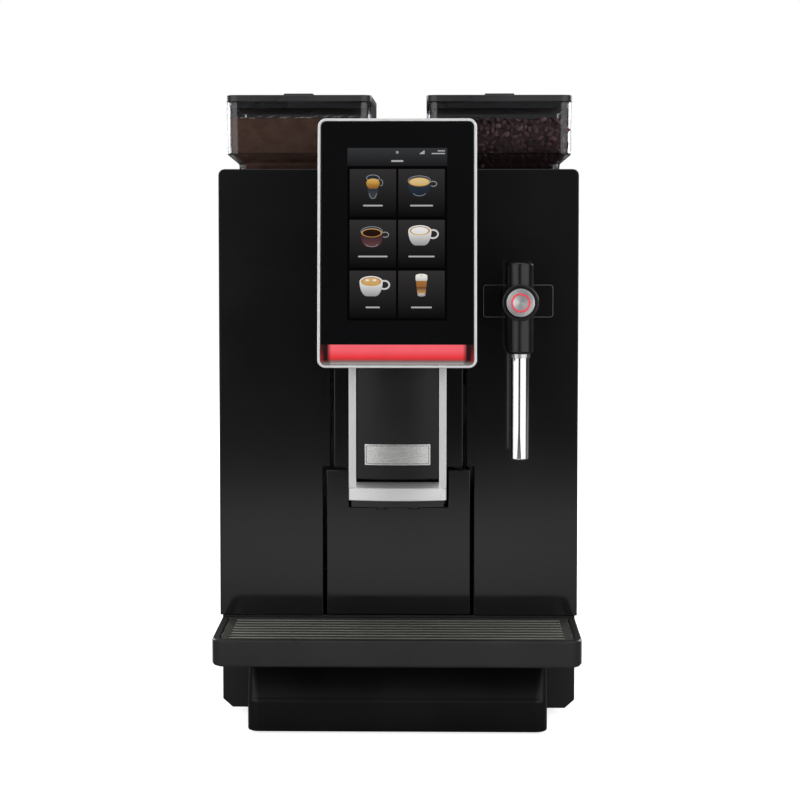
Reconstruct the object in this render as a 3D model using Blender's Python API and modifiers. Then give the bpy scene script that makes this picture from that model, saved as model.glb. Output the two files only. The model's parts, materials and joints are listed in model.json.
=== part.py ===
"""Countertop hot coffee vending machine with two hoppers, a touch screen, a height-adjustable
spout and a tilting steam wand. Metres, +Z up, the front faces -Y, origin under the middle."""

import math

import bmesh
import bpy
from mathutils import Matrix, Vector

# Driving dimensions
GAP = 0.0003
BODY_WIDTH = 0.334
FRONT_Y = -0.123
REAR_Y = 0.225
TRAY_FRONT_Y = -0.225
BASE_WIDTH = 0.330
BASE_BOTTOM, BASE_TOP = 0.0058, 0.0935
FASCIA_BOTTOM, FASCIA_TOP, FASCIA_DEPTH = 0.0938, 0.5108, 0.015
COVER_BOTTOM, COVER_TOP = 0.4998, 0.5023
SHEET = 0.002
COLUMN_HALF, COLUMN_TOP = 0.060, 0.415
DOOR_HALF, DOOR_TOP = 0.067, 0.2307
NOTCH_HALF, NOTCH_BOTTOM = 0.0463, 0.196
GROOVE = 0.0033
SCREEN_WIDTH, SCREEN_HEIGHT, SCREEN_DEPTH = 0.1428, 0.2236, 0.014
SCREEN_CENTRE = (0.0, -0.182, 0.4436)
SCREEN_TILT = math.radians(5.07)
SPOUT_HALF, SPOUT_TOP, SPOUT_ARC = 0.0444, 0.345, 0.200
SPOUT_BACK_Y, SPOUT_JOIN_Y, SPOUT_CREST_Y = -0.126, -0.164, -0.173
WAND_X, WAND_Y, WAND_PIVOT_Y, WAND_PIVOT_Z = 0.111, -0.159, -0.137, 0.390
HOPPER_X, HOPPER_HALF = 0.0944, 0.0686
HOPPER_FRONT, HOPPER_REAR, HOPPER_TOP = -0.093, 0.095, 0.574
HOPPER_WALL, HOPPER_CORNER = 0.003, 0.011
TRAY_HALF, TRAY_BOTTOM, TRAY_TOP = 0.165, 0.0683, 0.0923
TANK_HALF, TANK_FRONT_Y, TANK_BOTTOM = 0.136, -0.192, 0.0016
WATER_X, WATER_Y = (-0.149, 0.043), (0.123, 0.213)
FOOT_X, FOOT_Y = 0.115, (-0.085, 0.185)
POWDER_SPIGOT = (0.0496, -0.074, 0.076)  # half width, front and rear of the well under the hopper
BEAN_SPIGOT = (0.020, -0.019, 0.021)
POWDER_OUTLET_Y, BEAN_OUTLET_Y = -0.048, 0.001
GATE_BOTTOM, GATE_TOP, GATE_HALF = 0.5059, 0.5077, 0.022
BUTTON_Z = 0.390
RUNNER_X, RUNNER_HALF, RUNNER_Z, RUNNER_REAR = 0.112, 0.007, (0.044, 0.052), 0.030
FAN_X, FAN_Z = 0.100, 0.420
INLET_X, INLET_Z = (0.106, 0.134), (0.112, 0.136)
SWITCH_X, SWITCH_Z, SWITCH_TILT = 0.080, 0.124, math.radians(8)

# Colours
BLACK = (0.012, 0.012, 0.013)
SATIN_BLACK = (0.02, 0.02, 0.021)
STEEL = (0.62, 0.62, 0.64)
ZINC = (0.45, 0.46, 0.47)
BRASS = (0.60, 0.45, 0.20)
SMOKED = (0.55, 0.55, 0.55)
WHITE = (0.72, 0.72, 0.70)
RED = (0.9, 0.06, 0.08)
RUBBER = (0.03, 0.03, 0.03)

MACHINE = bpy.data.collections.new("coffee_vending_machine")
CUTTERS = bpy.data.collections.new("cutters")


def clear_scene():
    for obj in list(bpy.data.objects):
        bpy.data.objects.remove(obj)
    bpy.context.scene.collection.children.link(MACHINE)
    bpy.context.scene.collection.children.link(CUTTERS)


# Modelling helpers


def place(mesh, name, at=(0, 0, 0), turn=(0, 0, 0)):
    """A new object of this mesh in the machine's collection."""
    mesh.name = name
    obj = bpy.data.objects.new(name, mesh)
    obj.location = at
    obj.rotation_euler = turn
    MACHINE.objects.link(obj)
    return obj


def finish(obj, colour, roughness, metallic=0.0, smooth=True):
    """Gives the piece a material of its own, and smooth shading over its round faces."""
    material = bpy.data.materials.new(obj.name)
    material.use_nodes = True
    shader = material.node_tree.nodes["Principled BSDF"]
    shader.inputs["Base Color"].default_value = (*colour, 1)
    shader.inputs["Roughness"].default_value = roughness
    shader.inputs["Metallic"].default_value = metallic
    obj.data.materials.append(material)
    if smooth:
        obj.data.shade_smooth()
        obj.data.set_sharp_from_angle(angle=math.radians(35))
    return obj


def as_helper(obj):
    """Keeps a cutter or a joined shape out of sight."""
    MACHINE.objects.unlink(obj)
    CUTTERS.objects.link(obj)
    obj.hide_render = True
    obj.display_type = "WIRE"
    return obj


def boolean(obj, other, operation):
    modifier = obj.modifiers.new(operation.lower(), "BOOLEAN")
    modifier.operation = operation
    modifier.object = as_helper(other)
    modifier.solver = "EXACT"
    return obj


def cut(obj, cutter):
    return boolean(obj, cutter, "DIFFERENCE")


def join(obj, other):
    return boolean(obj, other, "UNION")


def block(name, low, high, bevel=0.0):
    """Box between two corners, with its edges bevelled."""
    low, high = Vector(low), Vector(high)
    shape = bmesh.new()
    bmesh.ops.create_cube(shape, size=1.0, matrix=Matrix.Diagonal((*(high - low), 1.0)))
    mesh = bpy.data.meshes.new(name)
    shape.to_mesh(mesh)
    shape.free()
    obj = place(mesh, name, (low + high) / 2)
    if bevel:
        rounding = obj.modifiers.new("rounding", "BEVEL")
        rounding.width = bevel
        rounding.segments = 2
    return obj


def rod(name, start, axis, length, radius, end_radius=None, sides=20):
    """Cylinder, or cone, from start along +X, +Y or +Z."""
    shape = bmesh.new()
    bmesh.ops.create_cone(
        shape, cap_ends=True, segments=sides, depth=length,
        radius1=radius, radius2=radius if end_radius is None else end_radius,
    )
    mesh = bpy.data.meshes.new(name)
    shape.to_mesh(mesh)
    shape.free()
    turn = {"X": (0, math.pi / 2, 0), "Y": (-math.pi / 2, 0, 0), "Z": (0, 0, 0)}[axis]
    middle = Vector(start)
    middle["XYZ".index(axis)] += length / 2
    return place(mesh, name, middle, turn)


def turned(name, profile, at, turn=(0, 0, 0), ring=False, steps=20):
    """Turns a (radius, height) profile about Z. It runs down its outer side; a ring is a closed one."""
    mesh = bpy.data.meshes.new(name)
    points = [(radius, 0.0, height) for radius, height in profile]
    edges = [(i, i + 1) for i in range(len(points) - 1)]
    if ring:
        edges.append((len(points) - 1, 0))
    mesh.from_pydata(points, edges, [])
    obj = place(mesh, name, at, turn)
    screw = obj.modifiers.new("turn", "SCREW")
    screw.axis = "Z"
    screw.steps = screw.render_steps = steps
    screw.use_merge_vertices = True
    screw.merge_threshold = 0.00001
    screw.use_smooth_shade = True
    return obj


def fillet(corners, radii, segments=3):
    """Polygon with its corners rounded, each by its own radius."""
    points = []
    for i, radius in enumerate(radii):
        corner = Vector(corners[i])
        if not radius:
            points.append(tuple(corner))
            continue
        before = (Vector(corners[i - 1]) - corner).normalized()
        after = (Vector(corners[(i + 1) % len(corners)]) - corner).normalized()
        half_angle = before.angle(after) / 2
        centre = corner + (before + after).normalized() * radius / math.sin(half_angle)
        first = corner + before * radius / math.tan(half_angle) - centre
        last = corner + after * radius / math.tan(half_angle) - centre
        for k in range(segments + 1):
            points.append(tuple(centre + first.slerp(last, k / segments).normalized() * radius))
    return points


def rectangle(x0, x1, y0, y1, radius=0.0):
    corners = [(x0, y0), (x1, y0), (x1, y1), (x0, y1)]
    return fillet(corners, [radius] * 4) if radius else corners


def plate(name, outline, low, high, across="Y"):
    """Flat outline made solid between low and high along one axis: the outline is (X, Z) across Y,
    (X, Y) across Z and (Y, Z) across X."""
    curve = bpy.data.curves.new(name, "CURVE")
    curve.dimensions = "2D"
    curve.fill_mode = "BOTH"
    curve.extrude = (high - low) / 2
    spline = curve.splines.new("POLY")
    spline.points.add(len(outline) - 1)
    for point, (u, v) in zip(spline.points, outline):
        point.co = (u, v, 0, 1)
    spline.use_cyclic_u = True
    guide = bpy.data.objects.new(name, curve)
    MACHINE.objects.link(guide)
    graph = bpy.context.evaluated_depsgraph_get()
    mesh = bpy.data.meshes.new_from_object(guide.evaluated_get(graph))
    bpy.data.objects.remove(guide)
    shape = bmesh.new()
    shape.from_mesh(mesh)
    bmesh.ops.remove_doubles(shape, verts=shape.verts, dist=0.000005)
    bmesh.ops.dissolve_limit(shape, angle_limit=0.001, verts=shape.verts, edges=shape.edges)
    bmesh.ops.recalc_face_normals(shape, faces=shape.faces)
    shape.to_mesh(mesh)
    shape.free()
    middle = (low + high) / 2
    at = {"X": (middle, 0, 0), "Y": (0, middle, 0), "Z": (0, 0, middle)}[across]
    turn = {
        "X": (math.pi / 2, 0, math.pi / 2),
        "Y": (math.pi / 2, 0, 0),
        "Z": (0, 0, 0),
    }[across]
    return place(mesh, name, at, turn)


def ring_points(x0, x1, y0, y1, front_radius, rear_radius, segments=3):
    corners = [(x0, y0), (x1, y0), (x1, y1), (x0, y1)]
    radii = [front_radius, front_radius, rear_radius, rear_radius]
    return fillet(corners, radii, segments)


def loft(name, rings, endless=False):
    """Skin over rounded rectangles, each (x0, x1, y0, y1, z, front radius, rear radius).
    An endless skin joins its last ring to its first; any other is capped at both ends."""
    shape = bmesh.new()
    loops = []
    for x0, x1, y0, y1, z, front_radius, rear_radius in rings:
        outline = ring_points(x0, x1, y0, y1, front_radius, rear_radius)
        loops.append([shape.verts.new((x, y, z)) for x, y in outline])
    following = loops[1:] + loops[:1] if endless else loops[1:]
    for upper, lower in zip(loops, following):
        for i in range(len(upper)):
            j = (i + 1) % len(upper)
            shape.faces.new((upper[i], upper[j], lower[j], lower[i]))
    if not endless:
        shape.faces.new(loops[0])
        shape.faces.new(loops[-1])
    bmesh.ops.recalc_face_normals(shape, faces=shape.faces)
    mesh = bpy.data.meshes.new(name)
    shape.to_mesh(mesh)
    shape.free()
    return place(mesh, name)


def inset_ring(x, y, z, inset, radius):
    """Ring of the rectangle x by y, drawn in by inset."""
    return (x[0] + inset, x[1] - inset, y[0] + inset, y[1] - inset, z, radius, radius)


def arc_points(half, crest_y, segments=8):
    """Points from -half to +half along the spout's shallow front arc, whose crest is at crest_y."""
    points = []
    for i in range(segments + 1):
        x = -half + 2 * half * i / segments
        points.append((x, crest_y + SPOUT_ARC - math.sqrt(SPOUT_ARC**2 - x**2)))
    return points


def pivot(name, at, pieces, turn=(0, 0, 0)):
    """Empty on a joint's axis that carries its pieces, which are modelled in world coordinates."""
    empty = bpy.data.objects.new(name, None)
    empty.location = at
    MACHINE.objects.link(empty)
    bpy.context.view_layer.update()
    for piece in pieces:
        piece.parent = empty
        piece.matrix_parent_inverse = empty.matrix_world.inverted()
    empty.rotation_euler = turn
    return empty


# Housing

def base_outline(inset):
    half, chamfer_x, chamfer_z = BASE_WIDTH / 2 - inset, 0.009, 0.008
    bottom = BASE_BOTTOM + inset
    return [
        (-half, BASE_TOP),
        (-half, bottom + chamfer_z),
        (-half + chamfer_x, bottom),
        (half - chamfer_x, bottom),
        (half, bottom + chamfer_z),
        (half, BASE_TOP),
    ]


def base_frame():
    wall, front, rear = 0.0025, FRONT_Y + 0.002, REAR_Y - 0.003
    pan = plate("base_frame", base_outline(0), front, rear)
    inside = base_outline(wall)
    inside[0] = (inside[0][0], BASE_TOP + 0.01)
    inside[-1] = (inside[-1][0], BASE_TOP + 0.01)
    cut(pan, plate("base_hollow", inside, front + wall, rear - wall))
    for side in (-1, 1):
        middle = side * RUNNER_X
        low = (middle - RUNNER_HALF - 0.001, front - 0.005, RUNNER_Z[0] - 0.001)
        high = (middle + RUNNER_HALF + 0.001, front + 0.01, RUNNER_Z[1] + 0.001)
        cut(pan, block(f"runner_slot_{side}", low, high))
        for foot_y in FOOT_Y:
            at = (side * FOOT_X, foot_y, BASE_BOTTOM - 0.004)
            cut(pan, rod(f"foot_hole_{side}_{foot_y}", at, "Z", 0.012, 0.0048, sides=20))
    finish(pan, BLACK, 0.5)


def feet():
    radius, stud, height, stud_top = 0.018, 0.004, 0.0055, 0.016
    profile = [
        (0, stud_top), (stud, stud_top), (stud, height), (radius - 0.001, height),
        (radius, height - 0.001), (radius, 0.0015), (radius - 0.0015, 0), (0, 0),
    ]
    for side, side_name in ((-1, "left"), (1, "right")):
        for foot_y, end_name in zip(FOOT_Y, ("front", "rear")):
            name = f"foot_{end_name}_{side_name}"
            foot = turned(name, profile, (side * FOOT_X, foot_y, 0))
            finish(foot, RUBBER, 0.8)


def front_fascia():
    half, wall = BODY_WIDTH / 2, 0.003
    corners = [(-half, FASCIA_BOTTOM), (half, FASCIA_BOTTOM), (half, FASCIA_TOP), (-half, FASCIA_TOP)]
    outline = fillet(corners, [0, 0, 0.0055, 0.0055])
    fascia = plate("front_fascia", outline, FRONT_Y, FRONT_Y + FASCIA_DEPTH)
    low = (-half + wall, FRONT_Y + wall, FASCIA_BOTTOM - 0.01)
    high = (half - wall, FRONT_Y + 0.03, FASCIA_TOP - wall)
    cut(fascia, block("fascia_hollow", low, high))
    column = COLUMN_HALF + GROOVE
    door = DOOR_HALF + GROOVE
    through = (FRONT_Y - 0.01, FRONT_Y + 0.02)
    low = (-column, through[0], DOOR_TOP)
    high = (column, through[1], COLUMN_TOP + GROOVE)
    cut(fascia, block("column_opening", low, high))
    low = (-door, through[0], FASCIA_BOTTOM - 0.01)
    high = (door, through[1], DOOR_TOP + GROOVE)
    cut(fascia, block("door_opening", low, high))
    finish(fascia, BLACK, 0.12)


def spout_column():
    """Fixed panel behind the spout. Its tongue fills the notch in the drawer front."""
    tongue, foot = NOTCH_HALF - 0.0026, NOTCH_BOTTOM + 0.0026
    bottom, back = DOOR_TOP + 0.003, FRONT_Y + 0.0035
    column = block("spout_column", (-COLUMN_HALF, FRONT_Y, bottom), (COLUMN_HALF, back, COLUMN_TOP))
    join(column, block("column_tongue", (-tongue, FRONT_Y, foot), (tongue, back, bottom + 0.005)))
    slot = rectangle(-0.0135, 0.0135, 0.243, 0.372, 0.003)
    cut(column, plate("column_slot", slot, FRONT_Y - 0.01, FRONT_Y + 0.02))
    finish(column, BLACK, 0.25)


def side_panels():
    outer, front = BODY_WIDTH / 2 - 0.001, FRONT_Y + FASCIA_DEPTH + GAP
    vent_z = [0.16 + 0.012 * i for i in range(6)]
    for side, name in ((-1, "left"), (1, "right")):
        x = sorted((side * outer, side * (outer - SHEET)))
        outline = rectangle(front, REAR_Y - GAP, FASCIA_BOTTOM + GAP, COVER_BOTTOM - GAP)
        panel = plate(f"{name}_side_panel", outline, x[0], x[1], across="X")
        for z in vent_z:
            slot = rectangle(0.09, 0.19, z, z + 0.004)
            cut(panel, plate(f"{name}_vent_{z:.3f}", slot, x[0] - 0.01, x[1] + 0.01, across="X"))
        finish(panel, SATIN_BLACK, 0.45)


def rear_cover():
    half, front = BODY_WIDTH / 2 - 0.0033, REAR_Y - 0.0024
    outline = rectangle(-half, half, FASCIA_BOTTOM + GAP, COVER_BOTTOM - GAP)
    cover = plate("rear_cover", outline, front, REAR_Y)
    through = (front - 0.01, REAR_Y + 0.01)
    for i in range(8):
        z = 0.30 + 0.014 * i
        slot = rectangle(-0.13, -0.03, z, z + 0.005)
        cut(cover, plate(f"rear_vent_{i}", slot, *through))
    cut(cover, rod("fan_hole", (FAN_X, through[0], FAN_Z), "Y", 0.03, 0.0345, sides=24))
    room = 0.0005
    inlet = rectangle(INLET_X[0] - room, INLET_X[1] + room, INLET_Z[0] - room, INLET_Z[1] + room)
    cut(cover, plate("inlet_hole", inlet, *through))
    switch = rectangle(SWITCH_X - 0.0075, SWITCH_X + 0.0075, SWITCH_Z - 0.0115, SWITCH_Z + 0.0115)
    cut(cover, plate("switch_hole", switch, *through))
    finish(cover, SATIN_BLACK, 0.5)


def top_cover():
    half, front = BODY_WIDTH / 2 - 0.001, FRONT_Y + FASCIA_DEPTH + GAP
    outline = rectangle(-half, half, front, REAR_Y)
    cover = plate("top_cover", outline, COVER_BOTTOM, COVER_TOP, across="Z")
    through = (COVER_BOTTOM - 0.01, COVER_TOP + 0.01)
    room = 0.001
    for x, spigot, name in ((-HOPPER_X, POWDER_SPIGOT, "powder"), (HOPPER_X, BEAN_SPIGOT, "bean")):
        half_hole, front_end, rear_end = spigot[0] + room, spigot[1] - room, spigot[2] + room
        hole = rectangle(x - half_hole, x + half_hole, front_end, rear_end, 0.004)
        cut(cover, plate(f"{name}_spigot_hole", hole, *through, across="Z"))
    hole = rectangle(
        WATER_X[0] - 0.002, WATER_X[1] + 0.002, WATER_Y[0] - 0.002, WATER_Y[1] + 0.002, 0.009
    )
    cut(cover, plate("water_tank_hole", hole, *through, across="Z"))
    finish(cover, SATIN_BLACK, 0.4)


def chassis_plate():
    """Upright sheet that parts the brewing bay from the water tank."""
    half = BODY_WIDTH / 2 - 0.0035
    outline = rectangle(-half, half, BASE_TOP + 0.0005, COVER_BOTTOM - 0.003)
    sheet = plate("chassis_plate", outline, 0.103, 0.105)
    for x in (-0.10, 0.0, 0.10):
        hole = rectangle(x - 0.02, x + 0.02, 0.33, 0.36, 0.006)
        cut(sheet, plate(f"chassis_hole_{x}", hole, 0.09, 0.12))
    finish(sheet, ZINC, 0.4, 0.9)


# Screen


def screen():
    """Screen parts are modelled upright round the origin, then hung on an empty that leans back."""
    half, tall, deep = SCREEN_WIDTH / 2, SCREEN_HEIGHT / 2, SCREEN_DEPTH / 2
    rim_width, rim_corner = 0.0025, 0.0075
    bar_half, bar_low, bar_high = 0.061, -0.108, -0.091
    outer = rectangle(-half, half, -tall, tall, rim_corner)
    rim = plate("screen_rim", outer, -deep, deep)
    inner_x, inner_z = half - rim_width, tall - rim_width
    window = rectangle(-inner_x, inner_x, -inner_z, inner_z, rim_corner - rim_width)
    cut(rim, plate("rim_window", window, -deep - 0.01, deep + 0.01))
    finish(rim, STEEL, 0.3, 0.9)

    back_x, back_z = inner_x - GAP, inner_z - GAP
    tray = rectangle(-back_x, back_x, -back_z, back_z, 0.0047)
    housing = plate("screen_housing", tray, -0.0048, deep)
    pocket = rectangle(-back_x + SHEET, back_x - SHEET, -back_z + SHEET, back_z - SHEET, 0.003)
    cut(housing, plate("screen_pocket", pocket, -0.02, deep - SHEET))
    finish(housing, SATIN_BLACK, 0.45)

    glass = plate("touch_glass", tray, -deep - 0.0001, -0.0051)
    slot = rectangle(-bar_half - GAP, bar_half + GAP, bar_low - GAP, bar_high + GAP, 0.0015)
    cut(glass, plate("bar_slot", slot, -0.02, 0.02))
    finish(glass, (0.004, 0.004, 0.005), 0.05)

    display = plate("display_panel", rectangle(-0.0475, 0.0475, -0.0685, 0.0885), -0.0047, -0.0015)
    finish(display, (0.02, 0.02, 0.02), 0.3)
    bar = plate("light_bar", rectangle(-bar_half, bar_half, bar_low, bar_high, 0.0012), -0.0068, -0.0050)
    finish(bar, RED, 0.35)

    lean = bpy.data.objects.new("screen_lean", None)
    lean.location = SCREEN_CENTRE
    lean.rotation_euler = (-SCREEN_TILT, 0, 0)
    MACHINE.objects.link(lean)
    for piece in (rim, housing, glass, display, bar):
        piece.parent = lean
        for modifier in piece.modifiers:
            modifier.object.parent = lean


def screen_mount():
    """Bracket between the fascia and the back of the leaning screen."""
    low, high = 0.425, 0.495

    def back_y(z):
        middle = SCREEN_CENTRE[1] + SCREEN_DEPTH / 2 / math.cos(SCREEN_TILT)
        return middle + (z - SCREEN_CENTRE[2]) * math.tan(SCREEN_TILT) + 2 * GAP

    rear = FRONT_Y - GAP
    outline = [(rear, low), (rear, high), (back_y(high), high), (back_y(low), low)]
    mount = plate("screen_mount", outline, -0.045, 0.045, across="X")
    finish(mount, SATIN_BLACK, 0.45)


# Hoppers


def hopper_rings(x, bottom, spigot, hole_y, hole_half):
    """A hopper from its outlet up inside to the rim, and down outside to the outlet."""
    xs, ys = (x - HOPPER_HALF, x + HOPPER_HALF), (HOPPER_FRONT, HOPPER_REAR)
    hole = (x - hole_half, x + hole_half, hole_y - hole_half, hole_y + hole_half)
    hole_radius, wall = hole_half * 0.98, HOPPER_WALL
    ledge, inner_corner = COVER_TOP + GAP, HOPPER_CORNER - wall
    well_x, well_y = (x - spigot[0], x + spigot[0]), spigot[1:]
    inside = [
        inset_ring(well_x, well_y, bottom + wall, wall, 0.002),
        inset_ring(well_x, well_y, ledge + wall, wall, 0.002),
        inset_ring(xs, ys, ledge + wall, 0.0144, inner_corner - 0.002),
        inset_ring(xs, ys, 0.5170, 0.0137, inner_corner - 0.002),
        inset_ring(xs, ys, 0.5262, 0.0037, inner_corner),
        inset_ring(xs, ys, HOPPER_TOP, wall, inner_corner),
    ]
    outside = [
        inset_ring(xs, ys, HOPPER_TOP, 0, HOPPER_CORNER),
        inset_ring(xs, ys, 0.5250, 0.0007, HOPPER_CORNER),
        inset_ring(xs, ys, 0.5158, 0.0106, HOPPER_CORNER - 0.002),
        inset_ring(xs, ys, ledge, 0.0114, HOPPER_CORNER - 0.002),
        inset_ring(well_x, well_y, ledge, 0, 0.004),
        inset_ring(well_x, well_y, bottom, 0, 0.004),
    ]
    first = (*hole, bottom + wall, hole_radius, hole_radius)
    last = (*hole, bottom, hole_radius, hole_radius)
    return [first, *inside, *outside, last]


def fill(name, x, bottom, top, colour):
    """What the hopper holds, clear of its walls."""
    xs, ys = (x - HOPPER_HALF, x + HOPPER_HALF), (HOPPER_FRONT, HOPPER_REAR)
    corner = HOPPER_CORNER - 0.0035
    rings = [
        inset_ring(xs, ys, top, 0.0036, corner),
        inset_ring(xs, ys, 0.5270, 0.0042, corner),
        inset_ring(xs, ys, 0.5176, 0.0143, corner - 0.0015),
        inset_ring(xs, ys, bottom, 0.0152, corner - 0.0015),
    ]
    return finish(loft(name, rings), colour, 0.8)


def hopper_lid(name, x):
    xs, ys = (x - HOPPER_HALF, x + HOPPER_HALF), (HOPPER_FRONT, HOPPER_REAR)
    seat, plug_corner = HOPPER_TOP + GAP, HOPPER_CORNER - 0.004
    rings = [
        inset_ring(xs, ys, 0.5685, 0.0042, plug_corner),
        inset_ring(xs, ys, seat, 0.0042, plug_corner),
        inset_ring(xs, ys, seat, 0, HOPPER_CORNER),
        inset_ring(xs, ys, 0.5796, 0, HOPPER_CORNER),
        inset_ring(xs, ys, 0.5806, 0.0012, HOPPER_CORNER - 0.001),
    ]
    lid = loft(name, rings)
    tab_low, tab_high = (x - 0.014, HOPPER_FRONT + 0.002, 0.5790), (x + 0.014, -0.068, 0.5820)
    tab = block(f"{name}_tab", tab_low, tab_high, 0.0006)
    join(lid, tab)
    return finish(lid, (0.05, 0.05, 0.055), 0.25)


def powder_side():
    x = -HOPPER_X
    rings = hopper_rings(x, 0.474, POWDER_SPIGOT, POWDER_OUTLET_Y, 0.012)
    hopper = finish(loft("powder_hopper", rings, endless=True), SMOKED, 0.08)
    content = fill("powder_fill", x, 0.5062, 0.559, (0.11, 0.05, 0.03))
    lid = hopper_lid("powder_lid", x)
    pivot("powder_hopper_lift", (x, 0, COVER_TOP), [hopper, content])
    pivot("powder_lid_lift", (x, 0, HOPPER_TOP), [lid])
    powder_auger(x)
    mixing_bowl(x)


def powder_auger(x):
    """Wire spiral that pushes the powder forward to the outlet."""
    turns, per_turn, radius, wire = 5, 8, 0.0075, 0.0012
    start_y, end_y, height = 0.064, -0.062, 0.4895
    curve = bpy.data.curves.new("powder_auger", "CURVE")
    curve.dimensions = "3D"
    curve.bevel_depth = wire
    curve.bevel_resolution = 1
    curve.use_fill_caps = True
    spline = curve.splines.new("POLY")
    steps = turns * per_turn
    spline.points.add(steps)
    for i, point in enumerate(spline.points):
        angle = 2 * math.pi * i / per_turn
        y = (end_y - start_y) * i / steps
        point.co = (radius * math.cos(angle), y, radius * math.sin(angle), 1)
    spiral = bpy.data.objects.new("powder_auger", curve)
    spiral.location = (x, start_y, height)
    MACHINE.objects.link(spiral)
    finish(spiral, STEEL, 0.3, 1.0, smooth=False)


def mixing_bowl(x):
    """Funnel under the powder outlet where hot water meets the powder."""
    profile = [
        (0.034, 0.055), (0.032, 0.030), (0.012, 0.006), (0.009, 0.0), (0.006, 0.0),
        (0.009, 0.008), (0.0298, 0.031), (0.0318, 0.055),
    ]
    bowl = turned("mixing_bowl", profile, (x, POWDER_OUTLET_Y, 0.405), ring=True)
    finish(bowl, WHITE, 0.3)


def bean_side():
    """Bean hopper with a shut-off gate that pulls out of its neck towards the middle."""
    x, neck_x = HOPPER_X, HOPPER_X - HOPPER_HALF + 0.0114
    rings = hopper_rings(x, 0.4905, BEAN_SPIGOT, BEAN_OUTLET_Y, 0.015)
    hopper = loft("bean_hopper", rings, endless=True)
    slot_half = GATE_HALF + 0.0015
    slot_low = (neck_x - 0.002, BEAN_OUTLET_Y - slot_half, GATE_BOTTOM - 0.0002)
    slot_high = (neck_x + 0.010, BEAN_OUTLET_Y + slot_half, GATE_TOP + 0.0006)
    cut(hopper, block("gate_slot", slot_low, slot_high))
    finish(hopper, SMOKED, 0.08)
    content = fill("bean_fill", x, 0.5092, 0.559, (0.05, 0.02, 0.015))
    lid = hopper_lid("bean_lid", x)
    gate, grip_x = bean_gate(x, neck_x)
    pivot("bean_hopper_lift", (x, 0, COVER_TOP), [hopper, content])
    pivot("bean_lid_lift", (x, 0, HOPPER_TOP), [lid])
    pivot("bean_gate_slide", (grip_x, BEAN_OUTLET_Y, GATE_BOTTOM), [gate])
    grinder(x)


def bean_gate(x, neck_x):
    """Flat gate whose hole stands over the outlet while it is pushed in."""
    grip_x, inner_end, hole_radius = neck_x - 0.009, x + 0.053, 0.0145
    grip_half, grip_width, grip_bottom, grip_top = 0.012, 0.0035, 0.5062, 0.5125
    low = (grip_x, BEAN_OUTLET_Y - GATE_HALF, GATE_BOTTOM)
    gate = block("bean_gate", low, (inner_end, BEAN_OUTLET_Y + GATE_HALF, GATE_TOP))
    cut(gate, rod("gate_hole", (x, BEAN_OUTLET_Y, GATE_BOTTOM - 0.01), "Z", 0.02, hole_radius))
    grip_low = (grip_x, BEAN_OUTLET_Y - grip_half, grip_bottom)
    grip_high = (grip_x + grip_width, BEAN_OUTLET_Y + grip_half, grip_top)
    join(gate, block("gate_grip", grip_low, grip_high))
    return finish(gate, SATIN_BLACK, 0.5), grip_x


def grinder(x):
    y = BEAN_OUTLET_Y
    profile = [
        (0.044, 0.086), (0.044, 0.0), (0.008, 0.0), (0.008, 0.020),
        (0.024, 0.020), (0.030, 0.050), (0.030, 0.086),
    ]
    housing = turned("grinder_housing", profile, (x, y, 0.400), ring=True)
    finish(housing, ZINC, 0.35, 0.9)
    cone = [
        (0, 0.058), (0.006, 0.056), (0.010, 0.052), (0.021, 0.026), (0.021, 0.023),
        (0.006, 0.023), (0.006, 0.006), (0, 0.006),
    ]
    burr = turned("burr_cone", cone, (x, y, 0.400))
    finish(burr, STEEL, 0.25, 1.0)
    motor = rod("grinder_motor", (x, y, 0.300), "Z", 0.0985, 0.036)
    finish(motor, ZINC, 0.35, 0.9)


# Brewing and water


def brew_unit():
    y, bottom = 0.0, 0.235
    profile = [(0, 0.006), (0.028, 0.006), (0.028, 0.080), (0.034, 0.080), (0.034, 0.0), (0, 0.0)]
    chamber = turned("brew_chamber", profile, (0, y, bottom))
    finish(chamber, WHITE, 0.35)
    piston = [
        (0, 0.155), (0.007, 0.155), (0.007, 0.079), (0.0262, 0.079), (0.0272, 0.078),
        (0.0272, 0.066), (0.0262, 0.065), (0, 0.065),
    ]
    plunger = turned("brew_piston", piston, (0, y, bottom))
    finish(plunger, STEEL, 0.25, 1.0)


def boilers():
    for name, x, y, radius, top in (
        ("coffee_boiler", 0.100, 0.050, 0.036, 0.250),
        ("steam_boiler", 0.100, 0.155, 0.040, 0.300),
    ):
        bottom, dome = 0.098, 0.012
        profile = [
            (0, top), (radius * 0.6, top - dome * 0.2), (radius * 0.92, top - dome * 0.6),
            (radius, top - dome), (radius, bottom + 0.004), (radius - 0.004, bottom), (0, bottom),
        ]
        finish(turned(name, profile, (x, y, 0)), STEEL, 0.3, 1.0)


def water_pump():
    body = rod("water_pump", (-0.100, -0.090, 0.130), "Y", 0.085, 0.024, sides=24)
    join(body, rod("pump_outlet", (-0.100, -0.008, 0.130), "Y", 0.020, 0.008, sides=16))
    join(body, block("pump_foot", (-0.120, -0.080, 0.0975), (-0.080, -0.020, 0.115)))
    finish(body, BRASS, 0.35, 0.8)


def control_board():
    board = block("control_board", (-0.1600, -0.080, 0.220), (-0.1584, 0.080, 0.360))
    fitted = (
        (-0.05, 0.25, 0.030, 0.022, 0.012),
        (0.02, 0.27, 0.018, 0.040, 0.016),
        (-0.02, 0.32, 0.040, 0.025, 0.008),
    )
    for i, (y, z, wide, tall, proud) in enumerate(fitted):
        part = block(f"board_part_{i}", (-0.1590, y, z), (-0.1584 + proud, y + wide, z + tall))
        join(board, part)
    finish(board, (0.02, 0.14, 0.06), 0.5)


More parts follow.
